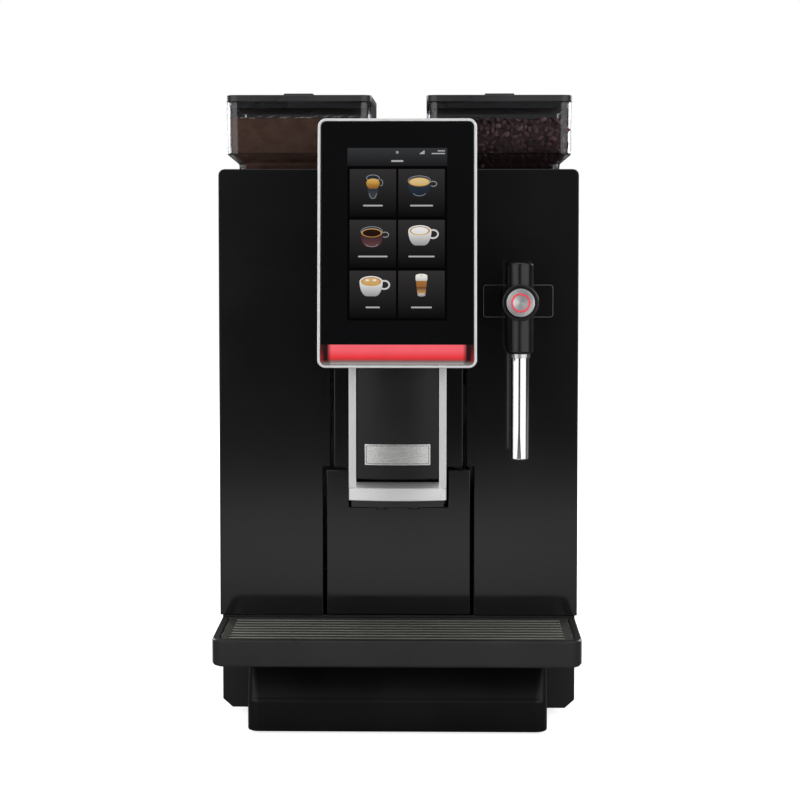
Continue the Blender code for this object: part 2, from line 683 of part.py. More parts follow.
def water_tank():
    wall, bottom, top, radius = 0.0025, 0.110, 0.4975, 0.008
    rings = [
        inset_ring(WATER_X, WATER_Y, bottom + wall, wall + 0.003, radius - wall),
        inset_ring(WATER_X, WATER_Y, top, wall, radius - wall),
        inset_ring(WATER_X, WATER_Y, top, 0, radius),
        inset_ring(WATER_X, WATER_Y, bottom, 0.003, radius),
    ]
    tank = finish(loft("water_tank", rings), (0.45, 0.5, 0.55), 0.1)
    seat, lid_top = COVER_TOP + GAP, 0.5085
    lid_rings = [
        inset_ring(WATER_X, WATER_Y, seat, -0.005, 0.012),
        inset_ring(WATER_X, WATER_Y, lid_top - 0.001, -0.005, 0.012),
        inset_ring(WATER_X, WATER_Y, lid_top, -0.004, 0.011),
    ]
    lid = loft("water_tank_lid", lid_rings)
    grip = rectangle(-0.078, -0.028, 0.156, 0.180, 0.010)
    cut(lid, plate("lid_grip", grip, lid_top - 0.0035, lid_top + 0.01, across="Z"))
    finish(lid, SATIN_BLACK, 0.4)
    middle = (sum(WATER_X) / 2, sum(WATER_Y) / 2, top)
    pivot("water_tank_lift", middle, [tank])
    pivot("water_tank_lid_lift", middle, [lid])


# Back of the machine

def cooling_fan():
    x, z = FAN_X, FAN_Z
    half, low, high = 0.040, 0.2065, 0.2218
    frame = plate("fan_frame", rectangle(x - half, x + half, z - half, z + half, 0.005), low, high)
    cut(frame, rod("fan_duct", (x, low - 0.01, z), "Y", 0.05, 0.0365, sides=24))
    join(frame, rod("fan_hub", (x, 0.2190, z), "Y", 0.0026, 0.013))
    for k, (reach_x, reach_z) in enumerate(((0.038, 0.0025), (0.0025, 0.038))):
        spoke = block(
            f"fan_spoke_{k}", (x - reach_x, 0.2192, z - reach_z), (x + reach_x, 0.2214, z + reach_z)
        )
        join(frame, spoke)
    finish(frame, SATIN_BLACK, 0.6)
    rotor = rod("fan_rotor", (x, 0.2080, z), "Y", 0.0098, 0.014)
    for k in range(7):
        angle = 2 * math.pi * k / 7
        blade = block(f"fan_blade_{k}", (-0.0035, -0.0008, 0.012), (0.0085, 0.0008, 0.034))
        spin = Matrix.Rotation(angle, 4, "Y") @ Matrix.Rotation(math.radians(38), 4, "Z")
        middle = blade.location.copy()
        blade.data.transform(spin @ Matrix.Translation(middle))
        blade.location = (x, 0.2129, z)
        join(rotor, blade)
    finish(rotor, SATIN_BLACK, 0.6)


def power_entry():
    low, high = (INLET_X[0], 0.2020, INLET_Z[0]), (INLET_X[1], REAR_Y - 0.0004, INLET_Z[1])
    inlet = block("power_inlet", low, high)
    wall = 0.003
    mouth = rectangle(INLET_X[0] + wall, INLET_X[1] - wall, INLET_Z[0] + wall, INLET_Z[1] - wall, wall)
    cut(inlet, plate("inlet_mouth", mouth, 0.2080, REAR_Y + 0.01))
    for k, (dx, dz) in enumerate(((-0.007, -0.002), (0.0, 0.002), (0.007, -0.002))):
        x, z = sum(INLET_X) / 2 + dx, sum(INLET_Z) / 2 + dz
        join(inlet, block(f"inlet_pin_{k}", (x - 0.001, 0.2070, z - 0.002), (x + 0.001, 0.2160, z + 0.002)))
    finish(inlet, SATIN_BLACK, 0.5)
    rocker = block("power_switch", (-0.0065, -0.0080, -0.0100), (0.0065, 0.0052, 0.0100), 0.0008)
    rocker.location += Vector((SWITCH_X, 0.2170, SWITCH_Z))
    finish(rocker, RUBBER, 0.4)
    pivot("power_switch_hinge", (SWITCH_X, 0.2170, SWITCH_Z), [rocker], (SWITCH_TILT, 0, 0))


# Spout


def strip_outline(half, crest_y, thickness):
    """Plan of a strip that follows the spout's front arc."""
    return arc_points(half, crest_y) + arc_points(half, crest_y + thickness)[::-1]


def spout():
    back = block(
        "spout_body", (-0.0423, SPOUT_JOIN_Y, 0.2095), (0.0423, SPOUT_BACK_Y, SPOUT_TOP), 0.002
    )
    hollow_low = (-0.0400, SPOUT_JOIN_Y - 0.01, 0.2000)
    cut(back, block("spout_hollow", hollow_low, (0.0400, SPOUT_BACK_Y - 0.0025, SPOUT_TOP - 0.0025)))
    join(back, block("carriage_neck", (-0.012, -0.1270, 0.252), (0.012, -0.1135, 0.298)))
    join(back, block("carriage_plate", (-0.022, -0.1175, 0.247), (0.022, -0.1130, 0.303)))
    finish(back, SATIN_BLACK, 0.4)

    bar_bottom, bar_top, join_y = 0.2092, 0.2209, SPOUT_JOIN_Y - GAP
    bar_outline = arc_points(SPOUT_HALF, -0.1750) + [(SPOUT_HALF, join_y), (-SPOUT_HALF, join_y)]
    frame = plate("spout_frame", bar_outline, bar_bottom, bar_top, across="Z")
    for side in (-1, 1):
        x = sorted((side * 0.0377, side * SPOUT_HALF))
        join(frame, block(f"rail_{side}", (x[0], -0.1705, bar_bottom + 0.0001), (x[1], join_y, SPOUT_TOP)))
    finish(frame, STEEL, 0.25, 1.0)

    half, skin, bottom = 0.0373, 0.0025, 0.2290
    shell = arc_points(half, SPOUT_CREST_Y) + [(half, join_y), (-half, join_y)]
    cover = plate("spout_cover", shell, bottom, SPOUT_TOP, across="Z")
    inner = half - skin
    inside = arc_points(inner, SPOUT_CREST_Y + skin) + [(inner, join_y + 0.01), (-inner, join_y + 0.01)]
    cut(cover, plate("cover_hollow", inside, bottom - 0.01, SPOUT_TOP + 0.01, across="Z"))
    finish(cover, SATIN_BLACK, 0.3)

    badge_half = 0.0298
    badge = plate(
        "spout_badge", strip_outline(badge_half, SPOUT_CREST_Y - 0.0013, 0.001), 0.2420, 0.2612, across="Z"
    )
    finish(badge, STEEL, 0.25, 1.0)
    pivot("spout_slide", (0, SPOUT_BACK_Y, 0.275), [back, frame, cover, badge, nozzle_block()])


def nozzle_block():
    top, bottom, tip, nozzle_y, nozzle_x = 0.2089, 0.2033, 0.1990, -0.153, 0.015
    outline = arc_points(0.0420, -0.1720) + [(0.0420, -0.1330), (-0.0420, -0.1330)]
    body = plate("nozzle_block", outline, bottom, top, across="Z")
    for side in (-1, 1):
        at = (side * nozzle_x, nozzle_y, tip)
        join(body, rod(f"nozzle_{side}", at, "Z", bottom - tip + 0.002, 0.0052, 0.0062, sides=20))
    for side in (-1, 1):
        at = (side * nozzle_x, nozzle_y, tip - 0.005)
        cut(body, rod(f"nozzle_bore_{side}", at, "Z", 0.03, 0.0026, sides=16))
    return finish(body, SATIN_BLACK, 0.4)


# Steam wand


def wand_bracket():
    """Plate on the fascia with two ears that hold the wand's pin."""
    plate_half = 0.0326
    outline = rectangle(WAND_X - plate_half, WAND_X + plate_half, 0.3735, 0.4041, 0.003)
    rear = FRONT_Y - GAP
    bracket = plate("wand_bracket", outline, rear - 0.0025, rear)
    for side in (-1, 1):
        x = sorted((WAND_X + side * 0.0085, WAND_X + side * 0.0115))
        ear_z = (WAND_PIVOT_Z - 0.006, WAND_PIVOT_Z + 0.006)
        ear = rectangle(WAND_PIVOT_Y - 0.006, rear - 0.001, *ear_z, 0.003)
        join(bracket, plate(f"ear_{side}", ear, x[0], x[1], across="X"))
    pin_hole = (WAND_X - 0.03, WAND_PIVOT_Y, WAND_PIVOT_Z)
    cut(bracket, rod("bracket_pin_hole", pin_hole, "X", 0.06, 0.0028, sides=24))
    finish(bracket, SATIN_BLACK, 0.3)
    pin = rod("wand_pin", (WAND_X - 0.0115, WAND_PIVOT_Y, WAND_PIVOT_Z), "X", 0.023, 0.0024, sides=24)
    finish(pin, STEEL, 0.3, 1.0)


def wand_handle():
    radius, low, high, edge = 0.0125, 0.3433, 0.4258, 0.0025
    profile = [
        (0, high), (radius - edge, high), (radius - edge * 0.3, high - edge * 0.3), (radius, high - edge),
        (radius, low + edge), (radius - edge * 0.3, low + edge * 0.3), (radius - edge, low), (0, low),
    ]
    handle = turned("wand_handle", profile, (WAND_X, WAND_Y, 0))
    boss_front = -0.1780
    boss = rod("button_boss", (WAND_X, boss_front, BUTTON_Z), "Y", 0.0155, 0.0167, sides=24)
    join(handle, boss)
    reach = 0.0058
    knuckle_y = (WAND_PIVOT_Y - 0.015, WAND_PIVOT_Y + reach)
    knuckle_z = (WAND_PIVOT_Z - reach, WAND_PIVOT_Z + reach)
    knuckle = rectangle(*knuckle_y, *knuckle_z, 0.005)
    join(handle, plate("wand_knuckle", knuckle, WAND_X - 0.0078, WAND_X + 0.0078, across="X"))
    cut(handle, rod("button_bore", (WAND_X, boss_front - 0.01, BUTTON_Z), "Y", 0.0200, 0.0134, sides=24))
    hole = (WAND_X - 0.03, WAND_PIVOT_Y, WAND_PIVOT_Z)
    cut(handle, rod("knuckle_hole", hole, "X", 0.06, 0.0028, sides=24))
    return finish(handle, SATIN_BLACK, 0.35)


def wand():
    handle = wand_handle()
    collar_low, collar_high = 0.3390, 0.3430
    collar = turned(
        "wand_collar",
        [(0.0097, collar_high), (0.0097, collar_low), (0.0091, collar_low), (0.0091, collar_high)],
        (WAND_X, WAND_Y, 0), ring=True,
    )
    finish(collar, STEEL, 0.2, 1.0)
    tip, tube_radius = 0.2458, 0.00865
    profile = [
        (0, collar_high), (tube_radius, collar_high), (tube_radius, tip + 0.003),
        (tube_radius - 0.0012, tip), (0.003, tip), (0.003, tip + 0.012), (0, tip + 0.012),
    ]
    tube = turned("wand_tube", profile, (WAND_X, WAND_Y, 0))
    finish(tube, STEEL, 0.08, 1.0)
    cap, ring = button()
    pivot("wand_tilt", (WAND_X, WAND_PIVOT_Y, WAND_PIVOT_Z), [handle, collar, tube])
    pivot("button_press", (WAND_X, -0.179, BUTTON_Z), [cap, ring])


def button():
    """Steel cap with a groove that holds the ring light, its face towards -Y."""
    face, groove_in, groove_out = 0.0095, 0.0068, 0.0088
    cap_profile = [
        (0, face), (groove_in, face), (groove_in, face - 0.002), (groove_out, face - 0.002),
        (groove_out, face), (0.0120, face), (0.0128, face - 0.0008), (0.0128, 0), (0, 0),
    ]
    at, turn = (WAND_X, -0.1705, BUTTON_Z), (math.pi / 2, 0, 0)
    cap = turned("button_cap", cap_profile, at, turn)
    finish(cap, STEEL, 0.25, 1.0)
    inner, outer, low, high = groove_in + GAP / 2, groove_out - GAP / 2, face - 0.0018, face - 0.0001
    ring = turned(
        "button_ring", [(outer, high), (outer, low), (inner, low), (inner, high)], at, turn,
        ring=True, steps=24,
    )
    finish(ring, RED, 0.4)
    return cap, ring


# Drip tray and grounds drawer

def drip_tray():
    x, y = (-TRAY_HALF, TRAY_HALF), (TRAY_FRONT_Y, FRONT_Y + 0.0015)
    drain_half, drain_y, floor = 0.008, -0.150, TRAY_BOTTOM + 0.003

    def ring(inset, z, front_radius):
        return (x[0] + inset, x[1] - inset, y[0] + inset, y[1] - inset, z, front_radius, 0.002)

    drain = (-drain_half, drain_half, drain_y - drain_half, drain_y + drain_half)
    rings = [
        (*drain, floor, 0.0078, 0.0078),
        ring(0.012, floor, 0.006),
        ring(0.0095, 0.0868, 0.006),
        ring(0.0068, 0.0868, 0.008),
        ring(0.0062, TRAY_TOP, 0.0085),
        ring(0.0010, TRAY_TOP, 0.013),
        ring(0, TRAY_TOP - 0.0012, 0.014),
        ring(0, TRAY_BOTTOM + 0.0015, 0.014),
        ring(0.0015, TRAY_BOTTOM, 0.013),
        (*drain, TRAY_BOTTOM, 0.0078, 0.0078),
    ]
    tray = finish(loft("drip_tray", rings, endless=True), BLACK, 0.35)
    pivot("drip_tray_slide", (0, FRONT_Y, TRAY_BOTTOM), [tray, *drip_tank()])
    pivot("grille_lift", (0, FRONT_Y, TRAY_TOP), [drip_grille()])


def drip_tank():
    """Waste tank under the tray: a pan with a full front, and a collar welded on it.
    The collar's front leans back over the pan, as a finger grip."""
    wall, top, rear = 0.0025, TRAY_BOTTOM - GAP, FRONT_Y + 0.0013
    seam = 0.0292

    def ring(inset, lean, z, front_radius):
        return (
            -TANK_HALF + inset, TANK_HALF - inset, TANK_FRONT_Y + inset + lean, rear - inset,
            z, front_radius, 0.002,
        )

    pan_rings = [
        ring(wall, 0, TANK_BOTTOM + wall, 0.009),
        ring(wall, 0, seam, 0.009),
        ring(0, 0, seam, 0.011),
        ring(0, 0, TANK_BOTTOM + 0.001, 0.011),
        ring(0.001, 0, TANK_BOTTOM, 0.010),
    ]
    collar_rings = [
        ring(wall, 0, seam + GAP, 0.009),
        ring(wall, 0, 0.0310, 0.009),
        ring(wall, 0.020, top, 0.006),
        ring(0, 0.020, top, 0.008),
        ring(0, 0, seam + GAP, 0.011),
    ]
    collar = loft("drip_tank", collar_rings, endless=True)
    for side in (-1, 1):
        middle = side * RUNNER_X
        low = (middle - RUNNER_HALF, rear - 0.002, RUNNER_Z[0])
        join(collar, block(f"runner_{side}", low, (middle + RUNNER_HALF, RUNNER_REAR, RUNNER_Z[1])))
    return [finish(loft("drip_tank_pan", pan_rings), BLACK, 0.35), finish(collar, BLACK, 0.35)]


def drip_grille():
    inset, rib, slots, top = 0.0071, 0.0042, 8, 0.0912
    x, y = TRAY_HALF - inset, (TRAY_FRONT_Y + inset, FRONT_Y + 0.0015 - inset)
    corners = [(-x, y[0]), (x, y[0]), (x, y[1]), (-x, y[1])]
    grille = plate("drip_grille", fillet(corners, [0.0075, 0.0075, 0.002, 0.002]), 0.0871, top, across="Z")
    pitch = (y[1] - y[0] - rib) / slots
    for i in range(slots):
        start = y[0] + rib + i * pitch
        slot = rectangle(-x + 0.008, x - 0.008, start, start + pitch - rib)
        cut(grille, plate(f"grille_slot_{i}", slot, 0.08, 0.10, across="Z"))
    return finish(grille, STEEL, 0.3, 1.0)


def grounds_drawer():
    bottom, back = FASCIA_BOTTOM + 0.0008, FRONT_Y + 0.0035
    front = block("grounds_front", (-DOOR_HALF, FRONT_Y, bottom), (DOOR_HALF, back, DOOR_TOP))
    notch_low = (-NOTCH_HALF, FRONT_Y - 0.01, NOTCH_BOTTOM)
    cut(front, block("drawer_notch", notch_low, (NOTCH_HALF, back + 0.01, DOOR_TOP + 0.01)))
    finish(front, BLACK, 0.2)
    x, y, wall = (-0.060, 0.060), (FRONT_Y + 0.0038, 0.050), 0.0022
    bottom, top, radius = 0.0970, 0.1900, 0.008
    rings = [
        inset_ring(x, y, bottom + wall, wall + 0.004, radius - wall),
        inset_ring(x, y, top, wall, radius - wall),
        inset_ring(x, y, top, 0, radius),
        inset_ring(x, y, bottom, 0.004, radius),
    ]
    bin_box = finish(loft("grounds_bin", rings), SATIN_BLACK, 0.5)
    pivot("grounds_drawer_slide", (0, FRONT_Y, DOOR_TOP), [front, bin_box])


def main():
    clear_scene()
    base_frame()
    feet()
    front_fascia()
    spout_column()
    side_panels()
    rear_cover()
    top_cover()
    chassis_plate()
    screen()
    screen_mount()
    powder_side()
    bean_side()
    brew_unit()
    boilers()
    water_pump()
    control_board()
    water_tank()
    cooling_fan()
    power_entry()
    spout()
    wand_bracket()
    wand()
    drip_tray()
    grounds_drawer()


main()
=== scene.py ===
"""Looks of a countertop hot coffee machine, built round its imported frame.
Metres, +Z up, the front faces -Y. Each section makes one part of the machine."""

import json
import math
import random

import bmesh
import bpy
from mathutils import Matrix, Vector, noise

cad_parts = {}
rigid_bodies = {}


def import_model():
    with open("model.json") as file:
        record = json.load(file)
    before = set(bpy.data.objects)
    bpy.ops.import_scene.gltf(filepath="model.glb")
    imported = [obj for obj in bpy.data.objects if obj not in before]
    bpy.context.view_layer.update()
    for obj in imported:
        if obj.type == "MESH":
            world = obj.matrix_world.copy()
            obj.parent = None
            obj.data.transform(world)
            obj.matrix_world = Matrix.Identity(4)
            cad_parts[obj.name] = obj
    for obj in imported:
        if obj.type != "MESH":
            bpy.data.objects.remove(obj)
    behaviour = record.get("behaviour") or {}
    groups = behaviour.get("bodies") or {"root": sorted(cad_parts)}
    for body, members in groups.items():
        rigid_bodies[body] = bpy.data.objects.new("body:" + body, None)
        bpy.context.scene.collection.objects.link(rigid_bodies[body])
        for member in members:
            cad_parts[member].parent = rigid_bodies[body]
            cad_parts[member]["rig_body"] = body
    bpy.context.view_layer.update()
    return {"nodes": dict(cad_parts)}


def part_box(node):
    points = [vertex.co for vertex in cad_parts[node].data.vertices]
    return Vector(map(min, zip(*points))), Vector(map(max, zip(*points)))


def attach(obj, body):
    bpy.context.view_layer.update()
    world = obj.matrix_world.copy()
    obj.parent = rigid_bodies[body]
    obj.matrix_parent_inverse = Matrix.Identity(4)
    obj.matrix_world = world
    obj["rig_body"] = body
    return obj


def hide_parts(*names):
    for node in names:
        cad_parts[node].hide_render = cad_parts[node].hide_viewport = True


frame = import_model()

MM = 0.001
GAP = 0.3 * MM
NODES = frame["nodes"]

# Linear colours
JET = (0.010, 0.010, 0.011)
SOOT = (0.016, 0.016, 0.017)
STEEL = (0.66, 0.66, 0.67)
ZINC = (0.50, 0.52, 0.54)
DUST = (0.30, 0.28, 0.25)


# Shader building

def node(tree, kind, inputs=None, **settings):
    """A new node of this kind. An input is a number, a colour or the socket that feeds it."""
    made = tree.nodes.new("ShaderNode" + kind)
    for key, value in settings.items():
        setattr(made, key, value)
    for key, value in (inputs or {}).items():
        if isinstance(value, bpy.types.NodeSocket):
            tree.links.new(value, made.inputs[key])
        else:
            made.inputs[key].default_value = value
    return made


def math_node(tree, operation, first, second=0.0, third=0.0, clamp=False):
    inputs = {0: first, 1: second, 2: third}
    return node(tree, "Math", inputs, operation=operation, use_clamp=clamp).outputs[0]


def span(tree, value, low, high, to_low=0.0, to_high=1.0):
    """Value from low to high brought to to_low to to_high, and held there outside."""
    inputs = {"Value": value, "From Min": low, "From Max": high, "To Min": to_low, "To Max": to_high}
    return node(tree, "MapRange", inputs).outputs["Result"]


def mixed(tree, factor, first, second):
    """Mix of two colours."""
    first, second = (c if isinstance(c, bpy.types.NodeSocket) else (*c, 1) for c in (first, second))
    return node(tree, "Mix", {0: factor, 6: first, 7: second}, data_type="RGBA").outputs[2]


def place_of(tree):
    """Position in the machine's own frame, which moves with the piece."""
    return node(tree, "TexCoord").outputs["Object"]


def group(name, inputs, outputs):
    """An empty node group with its named sockets: (tree, its inputs' sockets, its output node)."""
    tree = bpy.data.node_groups.new(name, "ShaderNodeTree")
    for label, value in inputs.items():
        socket = tree.interface.new_socket(name=label, in_out="INPUT", socket_type="NodeSocketFloat")
        socket.default_value = value
    for label in outputs:
        tree.interface.new_socket(name=label, in_out="OUTPUT", socket_type="NodeSocketFloat")
    return tree, tree.nodes.new("NodeGroupInput").outputs, tree.nodes.new("NodeGroupOutput")


def grain_group():
    """Moulded or powder-coated texture: a fine height and a slow, cloudy mottle."""
    tree, given, result = group("moulded_grain", {"Scale": 2200.0, "Cloud Scale": 18.0}, ["Height", "Mottle"])
    at = place_of(tree)
    fine = node(tree, "TexNoise", {"Vector": at, "Scale": given["Scale"], "Detail": 2.0})
    cloud = node(tree, "TexNoise", {"Vector": at, "Scale": given["Cloud Scale"], "Detail": 1.5})
    tree.links.new(fine.outputs[0], result.inputs["Height"])
    tree.links.new(cloud.outputs[0], result.inputs["Mottle"])
    return tree


def wear_group():
    """Mask of the outer edges, broken up as handling wears them."""
    tree, given, result = group("edge_wear", {"Reach": 0.0007, "Amount": 0.5}, ["Mask"])
    rounded_normal = node(tree, "Bevel", {"Radius": given["Reach"]}, samples=4).outputs[0]
    normal = node(tree, "NewGeometry").outputs["Normal"]
    facing = node(tree, "VectorMath", {0: rounded_normal, 1: normal}, operation="DOT_PRODUCT")
    edge = span(tree, facing.outputs["Value"], 0.98, 0.80)
    breakup = node(tree, "TexNoise", {"Vector": place_of(tree), "Scale": 160.0, "Detail": 5.0}).outputs[0]
    broken = span(tree, breakup, 0.40, 0.62)
    mask = math_node(tree, "MULTIPLY", math_node(tree, "MULTIPLY", edge, broken), given["Amount"])
    tree.links.new(mask, result.inputs["Mask"])
    return tree


def dust_group():
    """Mask of fine dust on faces that look up, in soft patches."""
    tree, given, result = group("settled_dust", {"Amount": 0.3}, ["Mask"])
    normal = node(tree, "NewGeometry").outputs["Normal"]
    upward = span(tree, node(tree, "SeparateXYZ", {0: normal}).outputs["Z"], 0.5, 1.0)
    patches = node(tree, "TexNoise", {"Vector": place_of(tree), "Scale": 45.0, "Detail": 8.0}).outputs[0]
    mask = math_node(tree, "MULTIPLY", upward, span(tree, patches, 0.35, 0.75))
    tree.links.new(math_node(tree, "MULTIPLY", mask, given["Amount"]), result.inputs["Mask"])
    return tree


def smudge_group():
    """Mask of faint wiping marks and finger smears on a gloss surface."""
    tree, given, result = group("wiping_marks", {"Amount": 0.5}, ["Mask"])
    at = place_of(tree)
    bent = node(tree, "TexNoise", {"Vector": at, "Scale": 9.0, "Detail": 2.0}).outputs["Color"]
    swept = node(tree, "Mix", {0: 0.06, 4: at, 5: bent}, data_type="VECTOR").outputs[1]
    stretch = {"Vector": swept, "Rotation": (0, 0.5, 0), "Scale": (30, 30, 220)}
    stretched = node(tree, "Mapping", stretch).outputs[0]
    marks = node(tree, "TexNoise", {"Vector": stretched, "Scale": 1.0, "Detail": 6.0}).outputs[0]
    patches = node(tree, "TexNoise", {"Vector": at, "Scale": 14.0, "Detail": 1.0}).outputs[0]
    mask = math_node(tree, "MULTIPLY", span(tree, marks, 0.45, 0.75), span(tree, patches, 0.45, 0.65))
    tree.links.new(math_node(tree, "MULTIPLY", mask, given["Amount"]), result.inputs["Mask"])
    return tree


def brushing_group():
    """Long fine scratches along one axis: the scales say how fine they are along X, Y and Z."""
    tree, given, result = group(
        "brushed_lines", {"X Scale": 40.0, "Y Scale": 3000.0, "Z Scale": 3000.0}, ["Height", "Tone"]
    )
    scales = {axis: given[f"{label} Scale"] for axis, label in enumerate("XYZ")}
    scale = node(tree, "CombineXYZ", scales).outputs[0]
    at = node(tree, "VectorMath", {0: place_of(tree), 1: scale}, operation="MULTIPLY").outputs[0]
    lines = node(tree, "TexNoise", {"Vector": at, "Scale": 1.0, "Detail": 3.0}).outputs[0]
    tree.links.new(lines, result.inputs["Height"])
    tree.links.new(span(tree, lines, 0.3, 0.7), result.inputs["Tone"])
    return tree


GRAIN, WEAR, DUSTING = grain_group(), wear_group(), dust_group()
SMUDGES, BRUSHING = smudge_group(), brushing_group()


def placed(tree, which, **inputs):
    """One of the shared groups, set in a material's tree."""
    made = node(tree, "Group", node_tree=which)
    for label, value in inputs.items():
        made.inputs[label.replace("_", " ").title()].default_value = value
    return made.outputs


def blank(name):
    """A material with nothing but its Principled shader: (material, tree, shader)."""
    material = bpy.data.materials.new(name)
    material.use_nodes = True
    return material, material.node_tree, material.node_tree.nodes["Principled BSDF"]


def bump(tree, shader, height, depth, strength=1.0):
    """Fine relief, depth metres from its lowest to its highest."""
    made = node(tree, "Bump", {"Height": height, "Distance": depth, "Strength": strength})
    tree.links.new(made.outputs[0], shader.inputs["Normal"])


def moulding(name, colour, roughness, grain=2200.0, depth=0.00003, mottle=0.25, wear=0.4, dust=0.25,
             metallic=0.0, spread=0.06, worn=None, smudges=0.0, specular=0.5):
    """Moulded plastic, paint, rubber or cast metal with its grain, cloudiness, worn edges and dust."""
    material, tree, shader = blank(name)
    texture = placed(tree, GRAIN, scale=grain)
    darker = tuple(c * (1 - mottle) for c in colour)
    lighter = tuple(min(1, c * (1 + mottle)) for c in colour)
    paint = mixed(tree, span(tree, texture["Mottle"], 0.2, 0.8), darker, lighter)
    edge = placed(tree, WEAR, amount=wear)["Mask"]
    paint = mixed(tree, edge, paint, worn or tuple(min(1, c * 2.2 + 0.02) for c in colour))
    film = placed(tree, DUSTING, amount=dust)["Mask"]
    tree.links.new(mixed(tree, film, paint, DUST), shader.inputs["Base Color"])
    uneven = span(tree, texture["Mottle"], 0.2, 0.8, roughness - spread, roughness + spread)
    marks = placed(tree, SMUDGES, amount=smudges)["Mask"]
    rough = math_node(tree, "ADD", uneven, math_node(tree, "ADD", film, marks), clamp=True)
    tree.links.new(rough, shader.inputs["Roughness"])
    shader.inputs["Metallic"].default_value = metallic
    shader.inputs["Specular IOR Level"].default_value = specular
    bump(tree, shader, texture["Height"], depth)
    return material


def brushed(name, colour, roughness, scales, depth=0.00001, contrast=0.12, metallic=1.0):
    """Metal with a brushed grain: scales are how fine it is along X, Y and Z."""
    material, tree, shader = blank(name)
    lines = placed(tree, BRUSHING, x_scale=scales[0], y_scale=scales[1], z_scale=scales[2])
    cloud = placed(tree, GRAIN, cloud_scale=25.0)["Mottle"]
    scratches = math_node(tree, "MULTIPLY", lines["Tone"], 0.7)
    tone = math_node(tree, "ADD", scratches, math_node(tree, "MULTIPLY", cloud, 0.3))
    darker = tuple(c * (1 - contrast) for c in colour)
    lighter = tuple(min(1, c * (1 + contrast)) for c in colour)
    tree.links.new(mixed(tree, tone, darker, lighter), shader.inputs["Base Color"])
    tree.links.new(span(tree, tone, 0.2, 0.8, roughness + 0.07, roughness - 0.05), shader.inputs["Roughness"])
    shader.inputs["Metallic"].default_value = metallic
    bump(tree, shader, lines["Height"], depth)
    return material


def clear_plastic(name, tint, roughness=0.015):
    """Clear plastic wall: it bends what is seen through it and lets the lamps' light pass."""
    material, tree, shader = blank(name)
    shader.inputs["Base Color"].default_value = (*tint, 1)
    shader.inputs["Transmission Weight"].default_value = 1.0
    shader.inputs["IOR"].default_value = 1.49
    haze = placed(tree, GRAIN, scale=900.0, cloud_scale=30.0)
    marks = placed(tree, SMUDGES, amount=0.03)["Mask"]
    uneven = span(tree, haze["Mottle"], 0.35, 0.65, roughness * 0.5, roughness * 1.5)
    tree.links.new(math_node(tree, "ADD", uneven, marks), shader.inputs["Roughness"])
    bump(tree, shader, haze["Mottle"], 0.0001, 0.2)
    passing = node(tree, "BsdfTransparent", {"Color": (*tint, 1)})
    shadow = node(tree, "LightPath").outputs["Is Shadow Ray"]
    blend = node(tree, "MixShader", {0: shadow, 1: shader.outputs[0], 2: passing.outputs[0]})
    tree.links.new(blend.outputs[0], tree.nodes["Material Output"].inputs["Surface"])
    return material


# Mesh building

def corner_arc(corners, radii, segments):
    """Points of a polygon whose corners are rounded, each by its own radius."""
    points = []
    for i, radius in enumerate(radii):
        corner = Vector(corners[i])
        if not radius:
            points += [tuple(corner)] * (segments + 1)
            continue
        before = (Vector(corners[i - 1]) - corner).normalized()
        after = (Vector(corners[(i + 1) % len(corners)]) - corner).normalized()
        half_angle = before.angle(after) / 2
        centre = corner + (before + after).normalized() * radius / math.sin(half_angle)
        first = corner + before * radius / math.tan(half_angle) - centre
        last = corner + after * radius / math.tan(half_angle) - centre
        for k in range(segments + 1):
            points.append(tuple(centre + first.slerp(last, k / segments).normalized() * radius))
    return points


def level(x, y, inset, z, front, rear=None, segments=8):
    """Rounded rectangle at height z, drawn in by inset from the spans x and y."""
    x0, x1, y0, y1 = x[0] + inset, x[1] - inset, y[0] + inset, y[1] - inset
    rear = front if rear is None else rear
    outline = corner_arc([(x0, y0), (x1, y0), (x1, y1), (x0, y1)], [front, front, rear, rear], segments)
    return [(u, v, z) for u, v in outline]


def upright(half_x, half_z, radius, y, segments=10):
    """Rounded rectangle in the screen's own upright frame, at depth y."""
    corners = [(-half_x, -half_z), (half_x, -half_z), (half_x, half_z), (-half_x, half_z)]
    return [(u, y, v) for u, v in corner_arc(corners, [radius] * 4, segments)]


def arc(centre, radius, start, end, steps=5):
    """Points of a plane arc, its angles in degrees."""
    angles = [math.radians(start + (end - start) * k / steps) for k in range(steps + 1)]
    return [(centre[0] + radius * math.cos(a), centre[1] + radius * math.sin(a)) for a in angles]


def piece_of(name, mesh, body, material, replaces=(), sharp=35.0, flat=True):
    """Puts a mesh in the scene as a smooth piece that rides on its body."""
    mesh.name = name
    if sharp:
        mesh.shade_smooth()
        mesh.set_sharp_from_angle(angle=math.radians(sharp))
    obj = bpy.data.objects.new(name, mesh)
    bpy.context.scene.collection.objects.link(obj)
    for one in material if isinstance(material, (list, tuple)) else [material]:
        obj.data.materials.append(one)
    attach(obj, body)
    if replaces:
        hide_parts(*replaces)
    if flat:
        keep_flat(obj)
    return obj


def keep_flat(obj):
    """Shades wide faces flat, and lets only the narrow rounded ones between them turn."""
    weights = obj.modifiers.new("flat_faces", "WEIGHTED_NORMAL")
    weights.keep_sharp = True
    weights.weight = 100


def mesh_from(shape, name="shape"):
    bmesh.ops.remove_doubles(shape, verts=shape.verts, dist=0.000002)
    bmesh.ops.recalc_face_normals(shape, faces=shape.faces)
    mesh = bpy.data.meshes.new(name)
    shape.to_mesh(mesh)
    shape.free()
    return mesh


